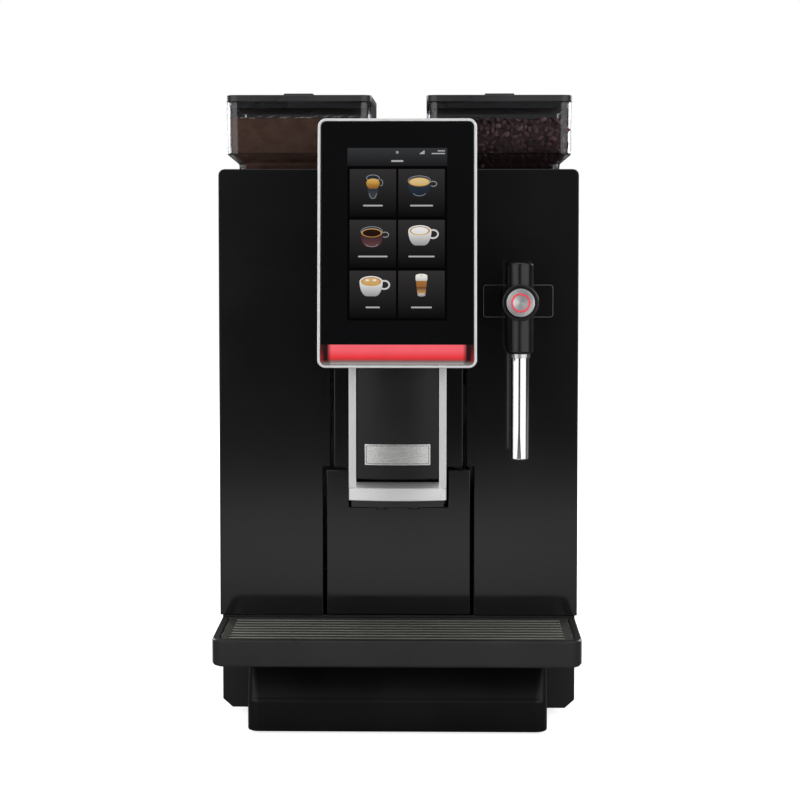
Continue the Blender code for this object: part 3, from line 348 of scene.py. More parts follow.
def skin(loops, endless=False):
    """Skin over loops with the same number of points, capped unless it is endless."""
    shape = bmesh.new()
    rings = [[shape.verts.new(p) for p in loop] for loop in loops]
    for upper, lower in zip(rings, rings[1:] + rings[:1] if endless else rings[1:]):
        for i in range(len(upper)):
            j = (i + 1) % len(upper)
            shape.faces.new((upper[i], upper[j], lower[j], lower[i]))
    if not endless:
        shape.faces.new(rings[0])
        shape.faces.new(rings[-1])
    return mesh_from(shape)


def lathe(profile, steps=64, ring=False, matrix=None):
    """Turns a (radius, height) profile about Z. A ring's profile is closed on itself."""
    shape = bmesh.new()
    matrix = matrix or Matrix.Identity(4)
    rings = []
    for radius, height in profile:
        turns = [2 * math.pi * k / steps for k in range(steps)]
        if radius < 1e-6:
            rings.append([shape.verts.new(matrix @ Vector((0, 0, height)))])
        else:
            points = (Vector((radius * math.cos(a), radius * math.sin(a), height)) for a in turns)
            rings.append([shape.verts.new(matrix @ p) for p in points])
    for upper, lower in zip(rings, rings[1:] + rings[:1] if ring else rings[1:]):
        for i in range(steps):
            j = (i + 1) % steps
            corners = [upper[i % len(upper)], upper[j % len(upper)]]
            corners = list(dict.fromkeys(corners + [lower[j % len(lower)], lower[i % len(lower)]]))
            if len(corners) > 2:
                shape.faces.new(corners)
    return mesh_from(shape)


def joined(meshes):
    """One mesh of several."""
    shape = bmesh.new()
    for mesh in meshes:
        shape.from_mesh(mesh)
    return mesh_from(shape)


def box_mesh(low, high, width=0.0, segments=2):
    """Box between two corners with its edges rounded."""
    shape = bmesh.new()
    low, high = Vector(low), Vector(high)
    matrix = Matrix.Translation((low + high) / 2) @ Matrix.Diagonal((*(high - low), 1.0))
    bmesh.ops.create_cube(shape, size=1.0, matrix=matrix)
    if width:
        bmesh.ops.bevel(
            shape, geom=shape.edges[:], offset=width, segments=segments, profile=0.5, affect="EDGES"
        )
    return mesh_from(shape)


def body_of(node_name):
    return NODES[node_name]["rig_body"]


def softened(node_name, width, material, segments=3, label="shell"):
    """The node's own shape with its edges rounded, which stands for the node."""
    shape = bmesh.new()
    shape.from_mesh(NODES[node_name].data)
    bmesh.ops.remove_doubles(shape, verts=shape.verts, dist=0.000002)
    bmesh.ops.dissolve_limit(shape, angle_limit=0.01, verts=shape.verts, edges=shape.edges)
    mesh = mesh_from(shape)
    name = f"{node_name}_{label}"
    obj = piece_of(name, mesh, body_of(node_name), material, [node_name], flat=False)
    rounding = obj.modifiers.new("edges", "BEVEL")
    rounding.width = width
    rounding.segments = segments
    rounding.limit_method = "ANGLE"
    rounding.angle_limit = math.radians(30)
    keep_flat(obj)
    return obj


def dressed(node_names, material):
    """Gives CAD nodes whose shape is right their finish."""
    for name in node_names:
        NODES[name].data.materials.clear()
        NODES[name].data.materials.append(material)


# Finishes

gloss_black = moulding("gloss_black", JET, 0.09, grain=700, depth=0.000003, mottle=0.1, wear=0.15, dust=0.05,
                       spread=0.025, smudges=0.03)
satin_black = moulding("satin_black", SOOT, 0.42, depth=0.000015, wear=0.3, dust=0.12)
tray_black = moulding("tray_black", (0.020, 0.019, 0.019), 0.30, depth=0.00001, wear=0.45, dust=0.04)
coated_black = moulding("coated_black", (0.014, 0.014, 0.015), 0.5, grain=1500, depth=0.00005, wear=0.6,
                        dust=0.1)
tank_black = moulding("tank_black", (0.005, 0.005, 0.0052), 0.32, depth=0.00001, wear=0.3, dust=0.05,
                      specular=0.25)
cover_black = moulding("cover_black", JET, 0.32, depth=0.00001, wear=0.2, dust=0.05, specular=0.35)
grip_black = moulding("grip_black", (0.008, 0.008, 0.0085), 0.24, depth=0.000008, wear=0.3, dust=0.05,
                      spread=0.04)
lid_black = moulding("lid_black", (0.034, 0.034, 0.036), 0.30, depth=0.00001, wear=0.3, dust=0.1,
                     smudges=0.1)
board_green = moulding("board_green", (0.01, 0.10, 0.04), 0.35, grain=300, depth=0.00005, mottle=0.3,
                       wear=0.1)
rubber = moulding("rubber", (0.02, 0.02, 0.02), 0.85, grain=900, depth=0.00008, wear=0.1, dust=0.5)
zinc_plate = moulding("zinc_plate", ZINC, 0.35, grain=500, depth=0.00002, mottle=0.2, metallic=0.95, dust=0.1,
                      worn=(0.75, 0.76, 0.78))
cast_zinc = moulding("cast_zinc", (0.40, 0.41, 0.43), 0.5, grain=1400, depth=0.00008, metallic=0.9, dust=0.15)
white_plastic = moulding("white_plastic", (0.70, 0.70, 0.68), 0.4, depth=0.00002, mottle=0.06, wear=0.1,
                         dust=0.1)
brass = moulding("brass", (0.60, 0.42, 0.16), 0.3, grain=1200, depth=0.00002, metallic=1.0, mottle=0.15)
aluminium_rim = brushed("satin_aluminium", (0.96, 0.96, 0.96), 0.42, (60, 2500, 60), contrast=0.02,
                        metallic=0.6)
rail_metal = brushed("brushed_rail", (0.96, 0.96, 0.96), 0.38, (2500, 2500, 60), contrast=0.03, metallic=0.6)
bar_metal = brushed("brushed_bar", (0.95, 0.95, 0.95), 0.34, (50, 3000, 3000), contrast=0.06, metallic=0.75)
plate_metal = brushed("brushed_plate", (0.82, 0.82, 0.80), 0.26, (60, 3000, 3500), contrast=0.12)
grille_metal = brushed("grille_steel", (0.42, 0.42, 0.38), 0.34, (45, 1400, 1400), depth=0.00002,
                       contrast=0.25)
steel = brushed("spun_steel", STEEL, 0.28, (900, 900, 40), contrast=0.1)
chrome = brushed("polished_tube", (0.93, 0.93, 0.94), 0.07, (300, 300, 20), depth=0.000001, contrast=0.02)
dim_steel = brushed("trim_line", (0.20, 0.20, 0.21), 0.4, (300, 300, 300))
smoked = clear_plastic("smoked_wall", (0.66, 0.67, 0.69))
clear = clear_plastic("clear_tank", (0.70, 0.76, 0.80), 0.05)


def solid_of(mesh, *steps):
    """The mesh after Boolean steps, each (operation, other mesh)."""
    made = bpy.data.objects.new("base", mesh)
    others = []
    for operation, other_mesh in steps:
        other = bpy.data.objects.new("other", other_mesh)
        others.append(other)
        modifier = made.modifiers.new(operation, "BOOLEAN")
        modifier.operation, modifier.object, modifier.solver = operation, other, "EXACT"
    for obj in (made, *others):
        bpy.context.scene.collection.objects.link(obj)
    graph = bpy.context.evaluated_depsgraph_get()
    result = bpy.data.meshes.new_from_object(made.evaluated_get(graph))
    for obj in (made, *others):
        bpy.data.objects.remove(obj)
    return result


# Housing

def housing():
    softened("front_fascia", 0.9 * MM, gloss_black)
    softened("spout_column", 0.8 * MM, gloss_black)
    for name in ("left_side_panel", "right_side_panel", "rear_cover", "top_cover"):
        softened(name, 0.5 * MM, coated_black)
    softened("base_frame", 0.8 * MM, coated_black)
    dressed(["chassis_plate"], zinc_plate)


def screw_mesh(at, outward, radius=2.6 * MM):
    """Dome-headed screw with a hexagon socket, its head towards outward."""
    steps, socket = 24, radius * 0.5
    turn = Vector((0, 0, 1)).rotation_difference(Vector(outward)).to_matrix().to_4x4()
    matrix = Matrix.Translation(at) @ turn

    def ring(height, reach_at):
        points = []
        for k in range(steps):
            angle = 2 * math.pi * k / steps
            reach = reach_at(angle)
            points.append(matrix @ Vector((reach * math.cos(angle), reach * math.sin(angle), height)))
        return points

    def circle(size):
        return lambda angle: size

    def hexagon(angle):
        return socket / math.cos((angle % (math.pi / 3)) - math.pi / 6)

    return skin([
        ring(-0.6 * MM, circle(radius)),
        ring(0.5 * MM, circle(radius)),
        ring(1.0 * MM, circle(radius * 0.93)),
        ring(1.35 * MM, circle(radius * 0.75)),
        ring(1.4 * MM, hexagon),
        ring(0.4 * MM, hexagon),
    ])


def fasteners():
    """Screws that hold the rear cover and the side panels."""
    low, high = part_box("rear_cover")
    heads, edge = [], 9 * MM
    for x in (low.x + edge, 12 * MM, high.x - edge):
        for z in (low.z + edge, high.z - edge):
            heads.append(screw_mesh((x, high.y, z), (0, 1, 0)))
    for side in (-1, 1):
        low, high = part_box("left_side_panel" if side < 0 else "right_side_panel")
        x = low.x if side < 0 else high.x
        edge = 12 * MM
        for y in (low.y + edge, high.y - edge):
            for z in (low.z + edge, high.z - edge):
                heads.append(screw_mesh((x, y, z), (side, 0, 0)))
    piece_of("cover_screws", joined(heads), "machine", zinc_plate)


def feet():
    """Rubber feet with a grooved edge."""
    for name in ("foot_front_left", "foot_front_right", "foot_rear_left", "foot_rear_right"):
        low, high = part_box(name)
        radius, top = (high.x - low.x) / 2, 5.5 * MM
        groove = [(radius, 4.6 * MM), (radius, 3.6 * MM), (radius - 0.7 * MM, 3.1 * MM), (radius, 2.6 * MM)]
        profile = [(0, high.z), (4 * MM, high.z), (4 * MM, top), (radius - 0.9 * MM, top), *groove,
                   (radius, 1.4 * MM), (radius - 1.4 * MM, 0), (8 * MM, 0), (7 * MM, 0.8 * MM), (0, 0.8 * MM)]
        matrix = Matrix.Translation(((low.x + high.x) / 2, (low.y + high.y) / 2, 0))
        piece_of(f"{name}_pad", lathe(profile, 48, matrix=matrix), "machine", rubber, [name])


# Screen

def screen_pose():
    """The screen's own frame and its half width, half height and half depth."""
    low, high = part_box("screen_rim")
    fronts = [p for p in NODES["touch_glass"].data.polygons if p.normal.y < 0]
    face = max(fronts, key=lambda p: p.area)
    tilt = math.atan2(face.normal.z, -face.normal.y)
    # The leaning screen's box is height * c + depth * s tall and depth * c + height * s deep.
    c, s = math.cos(tilt), math.sin(tilt)
    tall, deep = high.z - low.z, high.y - low.y
    height = (tall * c - deep * s) / (c * c - s * s)
    depth = (deep * c - tall * s) / (c * c - s * s)
    matrix = Matrix.Translation((low + high) / 2) @ Matrix.Rotation(-tilt, 4, "X")
    return matrix, (high.x - low.x) / 2, height / 2, depth / 2


LEAN, SCREEN_X, SCREEN_Z, SCREEN_Y = screen_pose()
RIM, RIM_CORNER = 2.5 * MM, 7.5 * MM


def screen_ring(inset, y):
    """The screen's outline, drawn in by inset, at depth y in its own frame."""
    radius = max(RIM_CORNER - inset, 0.5 * MM)
    return [LEAN @ Vector(p) for p in upright(SCREEN_X - inset, SCREEN_Z - inset, radius, y)]


def screen_shell():
    """Metal frame round the screen and the glass let into it."""
    lip, front, back = 0.8 * MM, -SCREEN_Y, SCREEN_Y
    profile = [(0, back - lip)]
    profile += [(u, y) for u, y in arc((lip, front + lip), lip, 180, 270)]
    profile += [(u, y) for u, y in arc((RIM - 0.5 * MM, front + 0.5 * MM), 0.5 * MM, 270, 360, 3)]
    profile += [(RIM, back), (lip, back)]
    rim = skin([screen_ring(u, y) for u, y in profile], endless=True)
    piece_of("screen_rim_frame", rim, "machine", aluminium_rim, ["screen_rim"])
    inset, face = RIM + GAP, -SCREEN_Y - 0.1 * MM
    plate = [(inset + 0.6 * MM, face), (inset + 0.15 * MM, face + 0.15 * MM),
             (inset, face + 0.6 * MM), (inset, face + 2 * MM)]
    glass = skin([screen_ring(u, y) for u, y in plate])
    piece_of("touch_panel_glass", glass, "machine", panel_glass, ["touch_glass"])
    softened("screen_housing", 0.5 * MM, satin_black)
    softened("screen_mount", 0.8 * MM, satin_black)


def glass_finish():
    """Black glass with faint wiping marks."""
    material, tree, shader = blank("panel_glass")
    marks = placed(tree, SMUDGES, amount=0.10)["Mask"]
    cloud = placed(tree, GRAIN, cloud_scale=12.0)["Mottle"]
    black = mixed(tree, cloud, (0.002, 0.002, 0.0025), (0.004, 0.004, 0.005))
    tree.links.new(black, shader.inputs["Base Color"])
    tree.links.new(math_node(tree, "ADD", marks, 0.04), shader.inputs["Roughness"])
    shader.inputs["IOR"].default_value = 1.5
    return material


panel_glass = glass_finish()


def lit_bar_finish():
    """Red light bar: brightest along its top, dark at its two ends; towards the rim it greys to a pale glow,
    a painted highlight of the rim's lower edge rather than the bar's own light.
    """
    material, tree, shader = blank("lit_bar")
    at = node(tree, "SeparateXYZ", {0: place_of(tree)}).outputs
    top = (LEAN @ Vector((0, 0, BAR_TOP))).z
    bottom = (LEAN @ Vector((0, 0, -SCREEN_Z + RIM))).z
    down = span(tree, at["Z"], top, bottom)
    ramp = node(tree, "ValToRGB", {0: down})
    # The last stops, from dark red to pale grey, are a painted highlight along the rim's lower edge.
    stops = ((0.0, (0.93, 0.13, 0.16)), (0.25, (0.90, 0.12, 0.15)), (0.62, (0.80, 0.030, 0.035)),
             (0.72, (0.36, 0.06, 0.06)), (0.80, (0.20, 0.16, 0.16)), (1.0, (0.52, 0.50, 0.50)))
    ramp.color_ramp.elements.remove(ramp.color_ramp.elements[1])
    for k, (position, colour) in enumerate(stops):
        stop = ramp.color_ramp.elements[0] if k == 0 else ramp.color_ramp.elements.new(position)
        stop.position, stop.color = position, (*colour, 1)
    out = math_node(tree, "ABSOLUTE", at["X"])
    edge = BAR_HALF
    body_light = span(tree, out, edge + 1.4 * MM, edge - 2.4 * MM)
    # Painted highlight: the low pale strip is shown across the whole width, past the bar's ends.
    low_painted_highlight = span(tree, down, 0.70, 1.0, 0.0, 0.8)
    towards_rim = span(tree, out, edge + 4 * MM, SCREEN_X - RIM)
    end_glow = math_node(tree, "MULTIPLY", towards_rim, span(tree, down, 0.15, 0.6, 0.1, 0.45))
    shown = math_node(tree, "MAXIMUM", body_light, low_painted_highlight)
    lit = mixed(tree, shown, (0.004, 0.004, 0.004), ramp.outputs[0])
    lit = mixed(tree, end_glow, lit, (0.85, 0.03, 0.06))
    cells = placed(tree, GRAIN, scale=1500.0, cloud_scale=60.0)
    glow = mixed(tree, span(tree, cells["Mottle"], 0.3, 0.7, 0, 0.08), lit, (0, 0, 0))
    tree.links.new(glow, shader.inputs["Emission Color"])
    shader.inputs["Emission Strength"].default_value = 1.0
    shader.inputs["Base Color"].default_value = (0.02, 0.004, 0.004, 1)
    shader.inputs["Roughness"].default_value = 0.12
    bump(tree, shader, cells["Height"], 0.000004)
    return material


BAR_HALF, BAR_TOP = 61 * MM, -91 * MM


def light_bar():
    """Lens over the whole foot of the glass, its lower corners round."""
    inset, front = RIM + 0.5 * MM, -SCREEN_Y - 0.35 * MM
    half_x, low, radius = SCREEN_X - inset, -SCREEN_Z + inset, RIM_CORNER - inset
    loops = []
    for draw_in, y in ((0.3 * MM, front), (0, front + 0.2 * MM), (0, front + 0.5 * MM)):
        corners = [(-half_x + draw_in, low + draw_in), (half_x - draw_in, low + draw_in),
                   (half_x - draw_in, BAR_TOP), (-half_x + draw_in, BAR_TOP)]
        outline = corner_arc(corners, [radius, radius, 0.4 * MM, 0.4 * MM], 8)
        loops.append([LEAN @ Vector((u, y, v)) for u, v in outline])
    piece_of("light_bar_lens", skin(loops), "machine", lit_bar_finish(), ["light_bar"])


PICTURE_STRETCH, PICTURE_DROP = 0.975, 2.4
PICTURE_LIFT, LAYER_STEP = 0.14, 0.012


class Picture:
    """Flat coloured shapes laid one over another on the glass, as the lit display shows them.
    Its sizes are in millimetres from the middle of the screen, u across and v up."""

    def __init__(self):
        self.points, self.faces, self.colours, self.layer = [], [], [], 0

    def shape(self, outline, top_colour, bottom_colour=None):
        """Adds a filled outline of (u, v) points; the colour runs from its top to its bottom."""
        bottom_colour = bottom_colour or top_colour
        y = -SCREEN_Y - (PICTURE_LIFT + LAYER_STEP * self.layer) * MM
        high, low = max(v for _, v in outline), min(v for _, v in outline)
        start = len(self.points)
        for u, v in outline:
            share = (v - low) / max(high - low, 0.001)
            self.points.append(LEAN @ Vector((u * PICTURE_STRETCH * MM, y, (v - PICTURE_DROP) * MM)))
            self.colours.append([b + (t - b) * share for t, b in zip(top_colour, bottom_colour)])
        self.faces.append(range(start, len(self.points)))
        self.layer += 1

    def ellipse(self, u, v, half_u, half_v, top_colour, bottom_colour=None, steps=28):
        turns = [2 * math.pi * k / steps for k in range(steps)]
        outline = [(u + half_u * math.cos(a), v + half_v * math.sin(a)) for a in turns]
        self.shape(outline, top_colour, bottom_colour)

    def panel(self, low, high, radius, top_colour, bottom_colour=None):
        """Upright rectangle between two corners, its own corners rounded."""
        corners = [(low[0], low[1]), (high[0], low[1]), (high[0], high[1]), (low[0], high[1])]
        self.shape(corner_arc(corners, [radius] * 4, 3), top_colour, bottom_colour)

    def ring(self, u, v, half_u, half_v, width, colour, start=0.0, end=360.0, steps=20):
        """Band of an ellipse between two angles, such as a handle or a glass's rim."""
        outer, inner = [], []
        for k in range(steps + 1):
            angle = math.radians(start + (end - start) * k / steps)
            outer.append((u + half_u * math.cos(angle), v + half_v * math.sin(angle)))
            inner.append((u + (half_u - width) * math.cos(angle), v + (half_v - width) * math.sin(angle)))
        for k in range(steps):
            quad = [outer[k], outer[k + 1], inner[k + 1], inner[k]]
            self.shape(quad, colour)
            self.layer -= 1
        self.layer += 1

    def bowl(self, u, v, half, depth, foot, top_colour, bottom_colour, steps=14):
        """Side of a cup: round from its rim, half wide at height v, in to its foot."""
        right = []
        for k in range(steps + 1):
            angle = math.pi / 2 * k / steps
            right.append((foot + (half - foot) * math.cos(angle), -depth * math.sin(angle)))
        outline = [(u - x, v + z) for x, z in right] + [(u + x, v + z) for x, z in right[::-1]]
        self.shape(outline, top_colour, bottom_colour)

    def piece(self, name, material):
        mesh = bpy.data.meshes.new(name)
        mesh.from_pydata(self.points, [], [list(f) for f in self.faces])
        layer = mesh.color_attributes.new("light", "FLOAT_COLOR", "POINT")
        for item, colour in zip(layer.data, self.colours):
            item.color = (*colour, 1)
        return piece_of(name, mesh, "machine", material, ["display_panel"], sharp=0, flat=False)


def display_finish():
    """Lit display: its own colours, with the faint grid of its picture elements."""
    material, tree, shader = blank("display_picture")
    light = node(tree, "Attribute", attribute_name="light").outputs["Color"]
    stripes = node(tree, "TexWave", {"Vector": place_of(tree), "Scale": 900.0}, bands_direction="X")
    dim = mixed(tree, span(tree, stripes.outputs["Fac"], 0, 1, 0, 0.10), light, (0, 0, 0))
    tree.links.new(dim, shader.inputs["Emission Color"])
    shader.inputs["Emission Strength"].default_value = 1.0
    shader.inputs["Base Color"].default_value = (0.001, 0.001, 0.001, 1)
    shader.inputs["Roughness"].default_value = 0.06
    shader.inputs["Specular IOR Level"].default_value = 0.15
    return material


PORCELAIN, PORCELAIN_SHADE = (0.78, 0.78, 0.78), (0.30, 0.29, 0.30)
CREMA, CREMA_DARK, ESPRESSO = (0.62, 0.40, 0.16), (0.40, 0.19, 0.04), (0.022, 0.008, 0.005)
GLASS_LINE, GLASS_DARK = (0.30, 0.33, 0.36), (0.020, 0.026, 0.036)


def porcelain_cup(picture, u, v, foam, ring_colour):
    """White cup with its handle to the right, seen a little from above."""
    picture.ring(u + 10.5, v - 3.0, 5.4, 4.4, 1.5, (0.62, 0.62, 0.62), -120, 110)
    picture.bowl(u - 1.5, v, 10.6, 13.2, 3.6, PORCELAIN, PORCELAIN_SHADE)
    picture.ellipse(u - 1.5, v, 10.6, 4.9, (0.80, 0.80, 0.79), (0.70, 0.70, 0.69))
    picture.ellipse(u - 1.5, v - 0.2, 9.4, 4.1, ring_colour, CREMA)
    picture.ellipse(u - 1.6, v - 0.1, 7.8, 3.3, foam[0], foam[1])


def glass_cup(picture, u, v, half, surface, below):
    """Low glass cup seen a little from above, its drink's surface under the rim."""
    picture.bowl(u, v - 0.5, half, 12.0, 3.5, below[0], below[1])
    picture.ring(u, v - 9.0, 6.0, 3.6, 0.4, GLASS_LINE, 200, 340)
    picture.ellipse(u, v + 1.2, half, 4.6, GLASS_DARK)
    picture.ring(u, v + 1.2, half, 4.6, 0.5, GLASS_LINE)
    picture.ellipse(u, v, half * 0.93, 4.0, CREMA, CREMA_DARK)
    picture.ellipse(u, v, half * 0.82, 3.3, surface[0], surface[1])
    picture.ring(u + half + 2.2, v - 1.6, 3.4, 2.6, 0.7, GLASS_LINE, -130, 130)


def drinks(picture):
    """What draws each tile's drink at (u, v), by row and column."""

    def espresso(u, v):
        picture.bowl(u, v - 4, 5.0, 11.0, 1.6, GLASS_DARK, (0.05, 0.055, 0.06))
        picture.ring(u, v - 9, 3.4, 6.0, 0.35, GLASS_LINE, 190, 350)
        picture.bowl(u, v, 6.2, 6.0, 2.4, (0.50, 0.26, 0.05), (0.22, 0.09, 0.02))
        picture.ellipse(u, v + 3.6, 6.2, 3.0, GLASS_DARK)
        picture.ring(u, v + 3.6, 6.2, 3.0, 0.5, GLASS_LINE)
        picture.ellipse(u, v + 0.6, 5.6, 2.5, (0.66, 0.42, 0.12), (0.50, 0.24, 0.04))
        picture.ring(u + 7.2, v - 0.6, 2.0, 3.0, 0.5, GLASS_LINE, -110, 110)

    def latte(u, v):
        side = [(-5.3, 5.0), (-3.6, -10.0), (3.6, -10.0), (5.3, 5.0)]
        picture.shape([(u + x, v + z) for x, z in side], (0.40, 0.17, 0.04), (0.20, 0.08, 0.03))
        band = [(-4.4, -3.0), (-3.7, -9.0), (3.7, -9.0), (4.4, -3.0)]
        picture.shape([(u + x, v + z) for x, z in band], (0.10, 0.035, 0.012), (0.55, 0.30, 0.14))
        picture.ellipse(u, v - 10.0, 3.6, 1.4, (0.55, 0.56, 0.58), (0.25, 0.26, 0.28))
        foam = (0.85, 0.85, 0.84), (0.55, 0.53, 0.50)
        picture.panel((u - 5.4, v + 2.6), (u + 5.4, v + 7.4), 1.2, *foam)
        picture.ellipse(u, v + 7.2, 5.4, 1.7, (0.90, 0.90, 0.88), (0.75, 0.72, 0.66))
        picture.ellipse(u, v + 7.4, 1.4, 0.5, (0.62, 0.55, 0.30))

    def americano(u, v):
        surface = (0.74, 0.56, 0.28), (0.60, 0.40, 0.15)
        glass_cup(picture, u - 2, v, 10.6, surface, ((0.02, 0.03, 0.05), (0.015, 0.02, 0.03)))

    def long_coffee(u, v):
        surface = ESPRESSO, (0.012, 0.005, 0.004)
        glass_cup(picture, u - 1, v, 10.2, surface, ((0.03, 0.015, 0.02), (0.12, 0.05, 0.05)))

    def cappuccino(u, v):
        porcelain_cup(picture, u, v + 2, ((0.84, 0.84, 0.83), (0.72, 0.71, 0.69)), CREMA_DARK)

    def flat_white(u, v):
        porcelain_cup(picture, u, v + 2, ((0.68, 0.44, 0.20), (0.58, 0.33, 0.10)), CREMA_DARK)
        for du in (-5.0, 1.6):
            picture.ellipse(u + du, v + 3.2, 1.7, 0.9, (0.86, 0.80, 0.68))

    return ((espresso, americano), (long_coffee, cappuccino), (flat_white, latte))


def display():
    """Dark home page with a header band and six drink tiles. Plain bars stand where words would be."""
    picture, half, top = Picture(), 45.8, 87.5
    picture.panel((-half, -67.0), (half, top), 0.2, (0.0002, 0.0002, 0.0002))
    picture.panel((-half, 71.3), (half, top), 0.2, (0.034, 0.036, 0.038), (0.010, 0.010, 0.011))
    label = (0.42, 0.42, 0.42)
    picture.panel((-5.5, 75.0), (5.5, 76.6), 0.5, label)
    picture.ellipse(0, 83.6, 1.3, 1.3, (0.30, 0.30, 0.30))
    for k in range(4):
        low = 20.5 + 1.2 * k
        picture.panel((low, 82.0), (low + 0.8, 82.8 + 0.8 * k), 0.1, (0.60, 0.60, 0.60))
    for left, low in ((37.0, 84.4), (31.5, 82.0)):
        picture.panel((left, low), (43.8, low + 1.0), 0.3, label)
    columns = ((-43.6, -1.0), (1.0, 43.6))
    rows = ((25.9, 68.6), (-19.7, 23.0), (-65.2, -22.5))
    label_halves = ((9.0, 10.5), (13.5, 12.0), (6.5, 9.5))
    tile = (0.030, 0.028, 0.029), (0.0022, 0.0020, 0.0022)
    for row, (low, high) in enumerate(rows):
        for column, (left, right) in enumerate(columns):
            picture.panel((left, low), (right, high), 0.4, *tile)
            middle, wide = (left + right) / 2, label_halves[row][column]
            picture.panel((middle - wide, low + 9.2), (middle + wide, low + 10.6), 0.6, label)
            drinks(picture)[row][column](middle, low + 31.0)
    picture.piece("display_picture", display_finish())


# Hoppers

def ring_of_points(points, count):
    """The closed outline's points, spread evenly along it."""
    lengths = [(Vector(points[i]) - Vector(points[i - 1])).length for i in range(len(points))]
    total, result, i, passed = sum(lengths), [], 0, 0.0
    for k in range(count):
        target = total * k / count
        while passed + lengths[(i + 1) % len(points)] < target:
            passed += lengths[(i + 1) % len(points)]
            i += 1
        step = lengths[(i + 1) % len(points)]
        first, second = Vector(points[i % len(points)]), Vector(points[(i + 1) % len(points)])
        result.append(first.lerp(second, (target - passed) / step if step else 0))
    return result


WALL, CORNER = 3.0 * MM, 11.0 * MM


def hopper_spans(node_name):
    """The hopper's extent along X and Y, its lowest height and its rim's."""
    low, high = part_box(node_name)
    return (low.x, high.x), (low.y, high.y), low.z, high.z


def hopper_shell(node_name, spigot_half, spigot_y, outlet_y, outlet_half):
    """Clear hopper: rim, straight walls, a shoulder at 45 degrees, a neck and its spigot."""
    x, y, bottom, top = hopper_spans(node_name)
    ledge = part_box("top_cover")[1].z + GAP
    middle = (x[0] + x[1]) / 2
    well = (middle - spigot_half, middle + spigot_half)
    hole_x = (middle - outlet_half, middle + outlet_half)
    hole_y = (outlet_y - outlet_half, outlet_y + outlet_half)
    inner, neck, shoulder = CORNER - WALL, ledge + 13.2 * MM, ledge + 22.4 * MM
    loops = [
        level(hole_x, hole_y, 0, bottom + WALL, outlet_half * 0.98),
        level(well, spigot_y, WALL, bottom + WALL, 2 * MM),
        level(well, spigot_y, WALL, ledge + WALL, 2 * MM),
        level(x, y, 14.4 * MM, ledge + WALL, inner - 2 * MM),
        level(x, y, 13.7 * MM, neck + 1.5 * MM, inner - 2 * MM),
        level(x, y, 3.7 * MM, shoulder + 1.2 * MM, inner),
        level(x, y, WALL, top - 0.4 * MM, inner),
        level(x, y, WALL - 0.4 * MM, top, inner + 0.4 * MM),
        level(x, y, 0.4 * MM, top, CORNER - 0.4 * MM),
        level(x, y, 0, top - 0.4 * MM, CORNER),
        level(x, y, 0.7 * MM, shoulder + 0.6 * MM, CORNER),
        level(x, y, 1.1 * MM, shoulder - 0.6 * MM, CORNER),
        level(x, y, 10.2 * MM, neck + 0.5 * MM, CORNER - 2 * MM),
        level(x, y, 10.9 * MM, neck - 0.7 * MM, CORNER - 2 * MM),
        level(x, y, 11.4 * MM, ledge, CORNER - 2 * MM),
        level(well, spigot_y, 0, ledge, 4 * MM),
        level(well, spigot_y, 0, bottom, 4 * MM),
        level(hole_x, hole_y, 0, bottom, outlet_half * 0.98),
    ]
    return skin(loops, endless=True)


def room_inset(z, low, high):
    """How far the hopper's inner wall stands in from its outer size at height z."""
    neck, shoulder = low + 14.7 * MM, low + 23.6 * MM
    if z < neck:
        return 14.4 * MM
    if z < shoulder:
        return 14.0 * MM + (3.8 * MM - 14.0 * MM) * (z - neck) / (shoulder - neck)
    return 3.8 * MM + (3.2 * MM - 3.8 * MM) * (z - shoulder) / (high - shoulder)


def powder():
    """Loose powder that fills its hopper to a level top with small lumps and crumbs."""
    x, y, _, high = hopper_spans("powder_hopper")
    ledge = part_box("top_cover")[1].z + GAP
    low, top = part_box("powder_fill")[0].z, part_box("powder_fill")[1].z
    count, loops = 200, []
    for k in range(9):
        z = low + (top - 1.5 * MM - low) * k / 8
        inset = room_inset(z, ledge, high) + 0.2 * MM
        loops.append(ring_of_points(level(x, y, inset, z, CORNER - WALL), count))
    half = (x[1] - x[0]) / 2
    for k in range(26):
        inset = 3.5 * MM + (half - 5.5 * MM) * k / 25
        ring = ring_of_points(level(x, y, inset, top, max(CORNER - inset, 0.6 * MM)), count)
        for point in ring:
            lumps = noise.fractal(point * 60.0, 1.0, 2.0, 3)
            crumbs = noise.fractal(point * 450.0, 1.0, 2.0, 2)
            point.z += 0.9 * MM * lumps + 0.35 * MM * crumbs
        loops.append(ring)
    heap, finish = skin(loops), powder_finish()
    piece_of("loose_powder", heap, "powder_hopper", finish, ["powder_fill"], flat=False)


def powder_finish():
    """Matt brown powder with pale specks."""
    material, tree, shader = blank("coffee_powder")
    at = place_of(tree)
    fine = node(tree, "TexNoise", {"Vector": at, "Scale": 1800.0, "Detail": 3.0}).outputs[0]
    clumps = node(tree, "TexNoise", {"Vector": at, "Scale": 90.0, "Detail": 6.0}).outputs[0]
    tone = mixed(tree, span(tree, clumps, 0.35, 0.65), (0.17, 0.082, 0.054), (0.23, 0.125, 0.088))
    specks = span(tree, fine, 0.62, 0.75)
    tree.links.new(mixed(tree, specks, tone, (0.55, 0.42, 0.34)), shader.inputs["Base Color"])
    tree.links.new(span(tree, fine, 0.2, 0.8, 0.85, 1.0), shader.inputs["Roughness"])
    shader.inputs["Specular IOR Level"].default_value = 0.2
    bump(tree, shader, fine, 0.00025)
    return material


